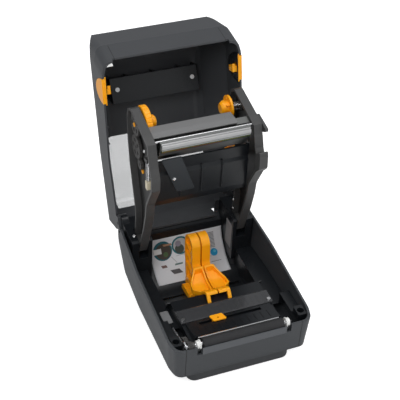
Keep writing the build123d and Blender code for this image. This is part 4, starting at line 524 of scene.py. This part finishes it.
print_steps = [
    (dot(19, 19, 14.5), (0.012, 0.11, 0.14)), (dot(20, 20, 11.8), (0.06, 0.05, 0.04)),
    (bar(5, 15, 17, 23), (0.75, 0.75, 0.74)), (bar(20, 10, 33, 13, 0.5), (0.36, 0.2, 0.12)),
    (dot(23, 25, 3.6), (0.07, 0.12, 0.05)), (ring(47, 16, 13.5, 2.6), (0.012, 0.12, 0.15)),
    (dot(47, 16, 10.9), (0.4, 0.4, 0.4)), (dot(45, 21, 7.0), (0.05, 0.06, 0.05)),
    (dot(44, 13, 4.5), (0.22, 0.2, 0.24)), (bar(24, 49, 38, 56, 0.6), (0.08, 0.075, 0.08)),
    (bar(12, 40, 20, 44, 0.4), (0.15, 0.09, 0.08)), (bar(34, 41, 46, 43.5, -0.5), (0.1, 0.16, 0.15)),
    (bar(30, 30, 30.8, 40, 0.7), (0.25, 0.25, 0.26)), (bar(38, 30, 52, 30.6), (0.3, 0.3, 0.32)),
    (dot(96, 37, 5.6), (0.0, 0.29, 0.56)), (dot(97.5, 35.5, 2.2), (0.1, 0.5, 0.7)),
    (bar(88, 50, 104, 50.8), (0.12, 0.12, 0.13)),
    (bar(90, 6, 100, 30) * ((down * TALL).repeat(1.0) > 0.55), (0.1, 0.1, 0.11)),
]
fibre = paper.noise(900.0, 3.0)
ink = paper.blend(fibre, (0.6, 0.61, 0.64), (0.68, 0.69, 0.71))
for mask, shade in print_steps:
    ink = paper.blend(mask, ink, shade)
paper.set(Base_Color=ink, Roughness=0.42 + fibre * 0.1, Normal=paper.relief(fibre, 0.00001))

# the sheet lies on an arc round the roll's axis: its upper and lower end in degrees, its radius and its
# left edge in mm, and its thickness in metres
SHEET_TOP, SHEET_LOW, SHEET_RADIUS, SHEET_LEFT = -14.0, -76.0, 64.3, -53.0
SHEET_THICK = 0.0001
turn = np.radians(np.linspace(SHEET_TOP, SHEET_LOW, 49))[:, None]
sheet_x = np.linspace(SHEET_LEFT, SHEET_LEFT + WIDE, 41)[None, :]
sheet_back = ROLL_AXIS[0] + SHEET_RADIUS * np.cos(turn)
sheet_up = ROLL_AXIS[1] + SHEET_RADIUS * np.sin(turn)
surface("loading_guide", place(sheet_x + 0 * turn, sheet_back, sheet_up), "base", paper,
        thick=SHEET_THICK)
print("loading guide is", WIDE, "by", round(math.radians(SHEET_TOP - SHEET_LOW) * SHEET_RADIUS), "mm")

# %% [markdown]
# Two more stickers are plain: a narrow strip on the inner face of the right pillar, and a small one on
# the floor beside the trough. A sticker's corners are a little round, which a grid gives if each row is
# drawn in near its ends.

# %% Plain stickers
bare_paper = Finish("bare_sticker", Specular_IOR_Level=0.4)
mottle = bare_paper.noise(220.0, 3.0)
bare_paper.set(Base_Color=bare_paper.blend(mottle, (0.2, 0.2, 0.205), (0.27, 0.27, 0.275)),
               Roughness=0.4 + mottle * 0.15, Normal=bare_paper.relief(mottle, 0.00001))


def rounded_patch(wide, tall, corner, steps=24):
    """Flat coordinates of a patch with round corners: each row's half width is w - r + sqrt(r2 - d2)."""
    v = np.linspace(-tall / 2, tall / 2, steps)[:, None]
    inside = np.clip(np.abs(v) - (tall / 2 - corner), 0.0, corner)
    half = wide / 2 - corner + np.sqrt(corner ** 2 - inside ** 2)
    u = np.linspace(-1.0, 1.0, steps)[None, :] * half
    return u, v + 0 * u


# (x, back, up) of each sticker's middle in mm
PILLAR_SPOT, FLOOR_SPOT = (61.35, 206.0, -8.0), (-75.6, 93.5, -29.85)

u, v = rounded_patch(20.0, 44.0, 1.5)
on_pillar = place(PILLAR_SPOT[0] + 0 * u, PILLAR_SPOT[1] + u, PILLAR_SPOT[2] - v)[:, ::-1]
surface("pillar_sticker", on_pillar, "base", bare_paper, thick=SHEET_THICK)
u, v = rounded_patch(12.0, 24.0, 1.0)
on_floor = place(FLOOR_SPOT[0] + u, FLOOR_SPOT[1] + v, FLOOR_SPOT[2] + 0 * u)
surface("floor_sticker", on_floor, "base", bare_paper, thick=SHEET_THICK)
print("plain stickers: 2")

# %% [markdown]
# Screw heads are turned shapes: a profile spun about an axis, so the two parameters are the angle and the
# distance along the profile. The cross recess is pressed in by lowering the points that fall within either
# of two crossed bars, deepest in the middle.

# %% Screw heads
# all as shares of the head's radius: the dome over the rim, the rim, and the recess's depth
DOME_HIGH, RIM_HIGH, RECESS_DEEP = 0.32, 0.25, 0.34
# the recess's half width and reach, and the width of the slope at each of its edges
RECESS_HALF, RECESS_SLOPE, RECESS_REACH, REACH_SLOPE = 0.17, 0.05, 0.62, 0.08
# how far the last row goes under the surface that the screw sits on
SUNK = 0.1


def screw_head(name, middle, out, radius, body):
    """Domed head with a cross recess: height = dome * (1 - (r / R)2), lowered where |a| or |b| is small."""
    out = np.array(out, float) / np.linalg.norm(out)
    side = np.cross(out, (1.0, 0.0, 0.0) if abs(out[0]) < 0.9 else (0.0, 1.0, 0.0))
    side /= np.linalg.norm(side)
    other = np.cross(out, side)
    share = np.concatenate([np.linspace(0.0, 1.0, 15), [1.0, 1.0]])[:, None]
    angle = np.linspace(0.0, 2 * np.pi, 48, endpoint=False)[None, :]
    a, b = share * np.cos(angle), share * np.sin(angle)
    dome = DOME_HIGH * radius * (1.0 - share ** 2) + RIM_HIGH * radius
    in_cross = np.clip((RECESS_HALF - np.minimum(np.abs(a), np.abs(b))) / RECESS_SLOPE, 0.0, 1.0)
    in_reach = np.clip((RECESS_REACH - share) / REACH_SLOPE, 0.0, 1.0)
    height = dome - in_cross * in_reach * RECESS_DEEP * radius
    height[-2:] = np.array([[0.0], [-SUNK * radius]])
    points = (np.array(middle)[None, None] + (a * radius)[..., None] * side + (b * radius)[..., None] * other
              + height[..., None] * out)
    surface(name, points, body, fastener_steel, wrap=True)


# name, (x, back, up) in mm, the way it faces, radius in mm, body
SCREWS = [
    ("flap_screw", (-42.0, 167.5, 147.0), (0, -1, 0), 2.4, "carriage"),
    ("plate_screw_left", (-71.05, 206.0, 172.0), (-1, 0, 0), 2.6, "carriage"),
    ("foot_screw_upper", (67.9, 212.0, 48.8), (-1, 0, 0), 2.2, "carriage"),
    ("foot_screw_lower", (67.9, 211.0, 34.0), (-1, 0, 0), 2.2, "carriage"),
    ("block_screw_left", (-84.0, 205.0, 27.05), (0, 0, 1), 2.6, "base"),
    ("block_screw_right", (84.0, 205.0, 27.05), (0, 0, 1), 2.6, "base"),
]
for name, spot, out, radius, body in SCREWS:
    screw_head(name, place(*spot), out, radius * MM, body)
print("screw heads:", len(SCREWS))

# %% [markdown]
# Each cover latch is a large orange pad outside and a small hook inside. Between them stands a shallow dark
# housing, moulded on the cover's inner face, which hides the back of the pad. Its outline is a half
# ellipse that stands clear of the case's sloping rim when the cover is shut, its hole a small upright box
# round the hook, and the rows of the grid blend one into the other.

# %% Latch housings
# in mm on the shut printer: the half ellipse's middle, half width and height
LATCH_MIDDLE, LATCH_WIDE, LATCH_TALL = 43.0, 21.5, 36.0
# (from, to) of the hook's hole, back and up
HOOK_BACK, HOOK_UP = (39.6, 50.4), (8.0, 23.4)
# the case's rim rises by this share of the distance back, and the housing clears it by so many mm
RIM_SLOPE, RIM_CLEAR = 0.093, 1.4
# for each row: its place between the hole and the half ellipse, and its distance from the printer's middle
ROW_SHARE = (0.0, 0.0, 0.3, 0.6, 0.9, 1.0, 1.03)
ROW_X = (97.0, 95.2, 95.2, 95.2, 95.2, 95.7, 98.3)


def latch_housing(side):
    """Rows go from the hook's hole to the half ellipse, then out to the cover's wall."""
    angle = np.linspace(0, 2 * np.pi, 72, endpoint=False)[None, :]
    hole_middle = np.array([sum(HOOK_BACK) / 2, sum(HOOK_UP) / 2])
    hole_half = np.array([HOOK_BACK[1] - HOOK_BACK[0], HOOK_UP[1] - HOOK_UP[0]]) / 2
    way = np.stack([np.cos(angle), np.sin(angle)], axis=-1)
    to_hole = np.min(hole_half / np.maximum(np.abs(way), 1e-6), axis=-1, keepdims=True)
    inner = hole_middle + way * to_hole
    outer_back = LATCH_MIDDLE + LATCH_WIDE * np.cos(angle)
    outer_up = RIM_SLOPE * outer_back + RIM_CLEAR + np.clip(LATCH_TALL * np.sin(angle), 0.0, None)
    outer = np.stack([outer_back, outer_up], axis=-1)
    share = np.array(ROW_SHARE)[:, None, None]
    flat = inner * (1 - share) + outer * share
    x = side * np.array(ROW_X)[:, None] + 0 * flat[..., 0]
    points = swung(place(x, flat[..., 0], flat[..., 1]), COVER_PIVOT, COVER_OPEN)
    if side > 0:
        points = points[:, ::-1]
    name = "latch_housing_right" if side > 0 else "latch_housing_left"
    surface(name, points, "cover", bay_plastic, wrap=True)


for side in (-1, 1):
    latch_housing(side)
print("latch housings: 2")

# %% [markdown]
# The studio is a pale floor and a white surround. What the camera and clear plastic see is plain white of
# strength 1, while the light that falls on the printer is softer. So every shader of the studio mixes two
# looks, and a mask tells the rays of the camera from the rest.

# %% Floor and surround
# strengths of what the camera sees and of what lights the printer, and the floor's half side in metres
SEEN_WHITE, AMBIENT, AMBIENT_COLOUR = 1.0, 0.42, (0.95, 0.97, 1.0, 1.0)
FLOOR_WHITE, FLOOR_GLOW, FLOOR_HALF = (0.82, 0.82, 0.82, 1.0), 0.7, 3.0


def camera_only(tree):
    """1 for rays from the camera and through clear things: the larger of the light path's two marks."""
    path = tree.nodes.new("ShaderNodeLightPath")
    larger = tree.nodes.new("ShaderNodeMath")
    larger.operation = "MAXIMUM"
    tree.links.new(path.outputs["Is Camera Ray"], larger.inputs[0])
    tree.links.new(path.outputs["Is Transmission Ray"], larger.inputs[1])
    return larger.outputs[0]


world = bpy.data.worlds.new("studio")
bpy.context.scene.world = world
world.use_nodes = True
tree = world.node_tree
tree.nodes.clear()
world_out = tree.nodes.new("ShaderNodeOutputWorld")
seen, lit = tree.nodes.new("ShaderNodeBackground"), tree.nodes.new("ShaderNodeBackground")
seen.inputs["Color"].default_value = (1.0, 1.0, 1.0, 1.0)
seen.inputs["Strength"].default_value = SEEN_WHITE
lit.inputs["Color"].default_value = AMBIENT_COLOUR
lit.inputs["Strength"].default_value = AMBIENT
mixed = tree.nodes.new("ShaderNodeMixShader")
tree.links.new(camera_only(tree), mixed.inputs[0])
tree.links.new(lit.outputs[0], mixed.inputs[1])
tree.links.new(seen.outputs[0], mixed.inputs[2])
tree.links.new(mixed.outputs[0], world_out.inputs["Surface"])

floor_mesh = bpy.data.meshes.new("floor")
floor_corners = [(x * FLOOR_HALF, y * FLOOR_HALF, 0.0) for x, y in ((-1, -1), (1, -1), (1, 1), (-1, 1))]
floor_mesh.from_pydata(floor_corners, [], [(0, 1, 2, 3)])
floor = bpy.data.objects.new("floor", floor_mesh)
bpy.context.scene.collection.objects.link(floor)
floor_material = bpy.data.materials.new("floor_white")
floor_material.use_nodes = True
tree = floor_material.node_tree
tree.nodes.clear()
floor_out = tree.nodes.new("ShaderNodeOutputMaterial")
matt, glow = tree.nodes.new("ShaderNodeBsdfDiffuse"), tree.nodes.new("ShaderNodeEmission")
matt.inputs["Color"].default_value = FLOOR_WHITE
glow.inputs["Strength"].default_value = FLOOR_GLOW
added, floor_mix = tree.nodes.new("ShaderNodeAddShader"), tree.nodes.new("ShaderNodeMixShader")
tree.links.new(matt.outputs[0], added.inputs[0])
tree.links.new(glow.outputs[0], added.inputs[1])
tree.links.new(camera_only(tree), floor_mix.inputs[0])
tree.links.new(matt.outputs[0], floor_mix.inputs[1])
tree.links.new(added.outputs[0], floor_mix.inputs[2])
tree.links.new(floor_mix.outputs[0], floor_out.inputs["Surface"])
floor_mesh.materials.append(floor_material)
print("studio floor is", 2 * FLOOR_HALF, "m square")

# %% [markdown]
# Three large lamps light the printer: one from the upper left, a wide one from above and a weak one from
# the right. A large lamp close by gives soft edges to the shadows, as a photographer's soft box does.

# %% Lamps
def lamp(name, spot, target, size, watts):
    """Square white area lamp at a spot, aimed at a target."""
    data = bpy.data.lights.new(name, "AREA")
    data.size, data.energy = size, watts
    made = bpy.data.objects.new(name, data)
    bpy.context.scene.collection.objects.link(made)
    made.location = spot
    way = np.array(target) - np.array(spot)
    tilt = math.acos(-way[2] / np.linalg.norm(way))
    made.rotation_euler = (tilt, 0.0, math.atan2(way[1], way[0]) - math.pi / 2)


lamp("key", (-0.9, -1.0, 1.6), (0, 0, 0.12), 0.9, 14.0)
lamp("top", (0.1, 0.1, 1.9), (0, 0, 0.1), 1.3, 12.0)
lamp("fill", (1.3, -0.9, 0.9), (0, 0, 0.12), 1.0, 6.0)
print("lamps:", len(bpy.data.lights))

# %% [markdown]
# The camera stands where the photographer stood: well to the left of straight ahead, about forty degrees
# up, with a long lens. Its place was worked out from the corners of the case and the cover.

# %% Camera
# focal length and sensor width in mm, and the nearest thing seen in metres
LENS, SENSOR, NEAREST = 100.33, 36.0, 0.05
# in metres and in degrees
CAMERA_SPOT, CAMERA_TURN = (-0.467492, -1.036381, 1.133892), (50.5277, -2.5246, -21.3604)

camera_data = bpy.data.cameras.new("camera")
camera_data.lens, camera_data.sensor_width = LENS, SENSOR
camera_data.clip_start = NEAREST
camera = bpy.data.objects.new("camera", camera_data)
bpy.context.scene.collection.objects.link(camera)
camera.location = CAMERA_SPOT
camera.rotation_euler = tuple(math.radians(angle) for angle in CAMERA_TURN)
bpy.context.scene.camera = camera
bpy.context.scene.view_settings.view_transform = "Standard"
print("camera at", [round(value, 3) for value in camera.location])
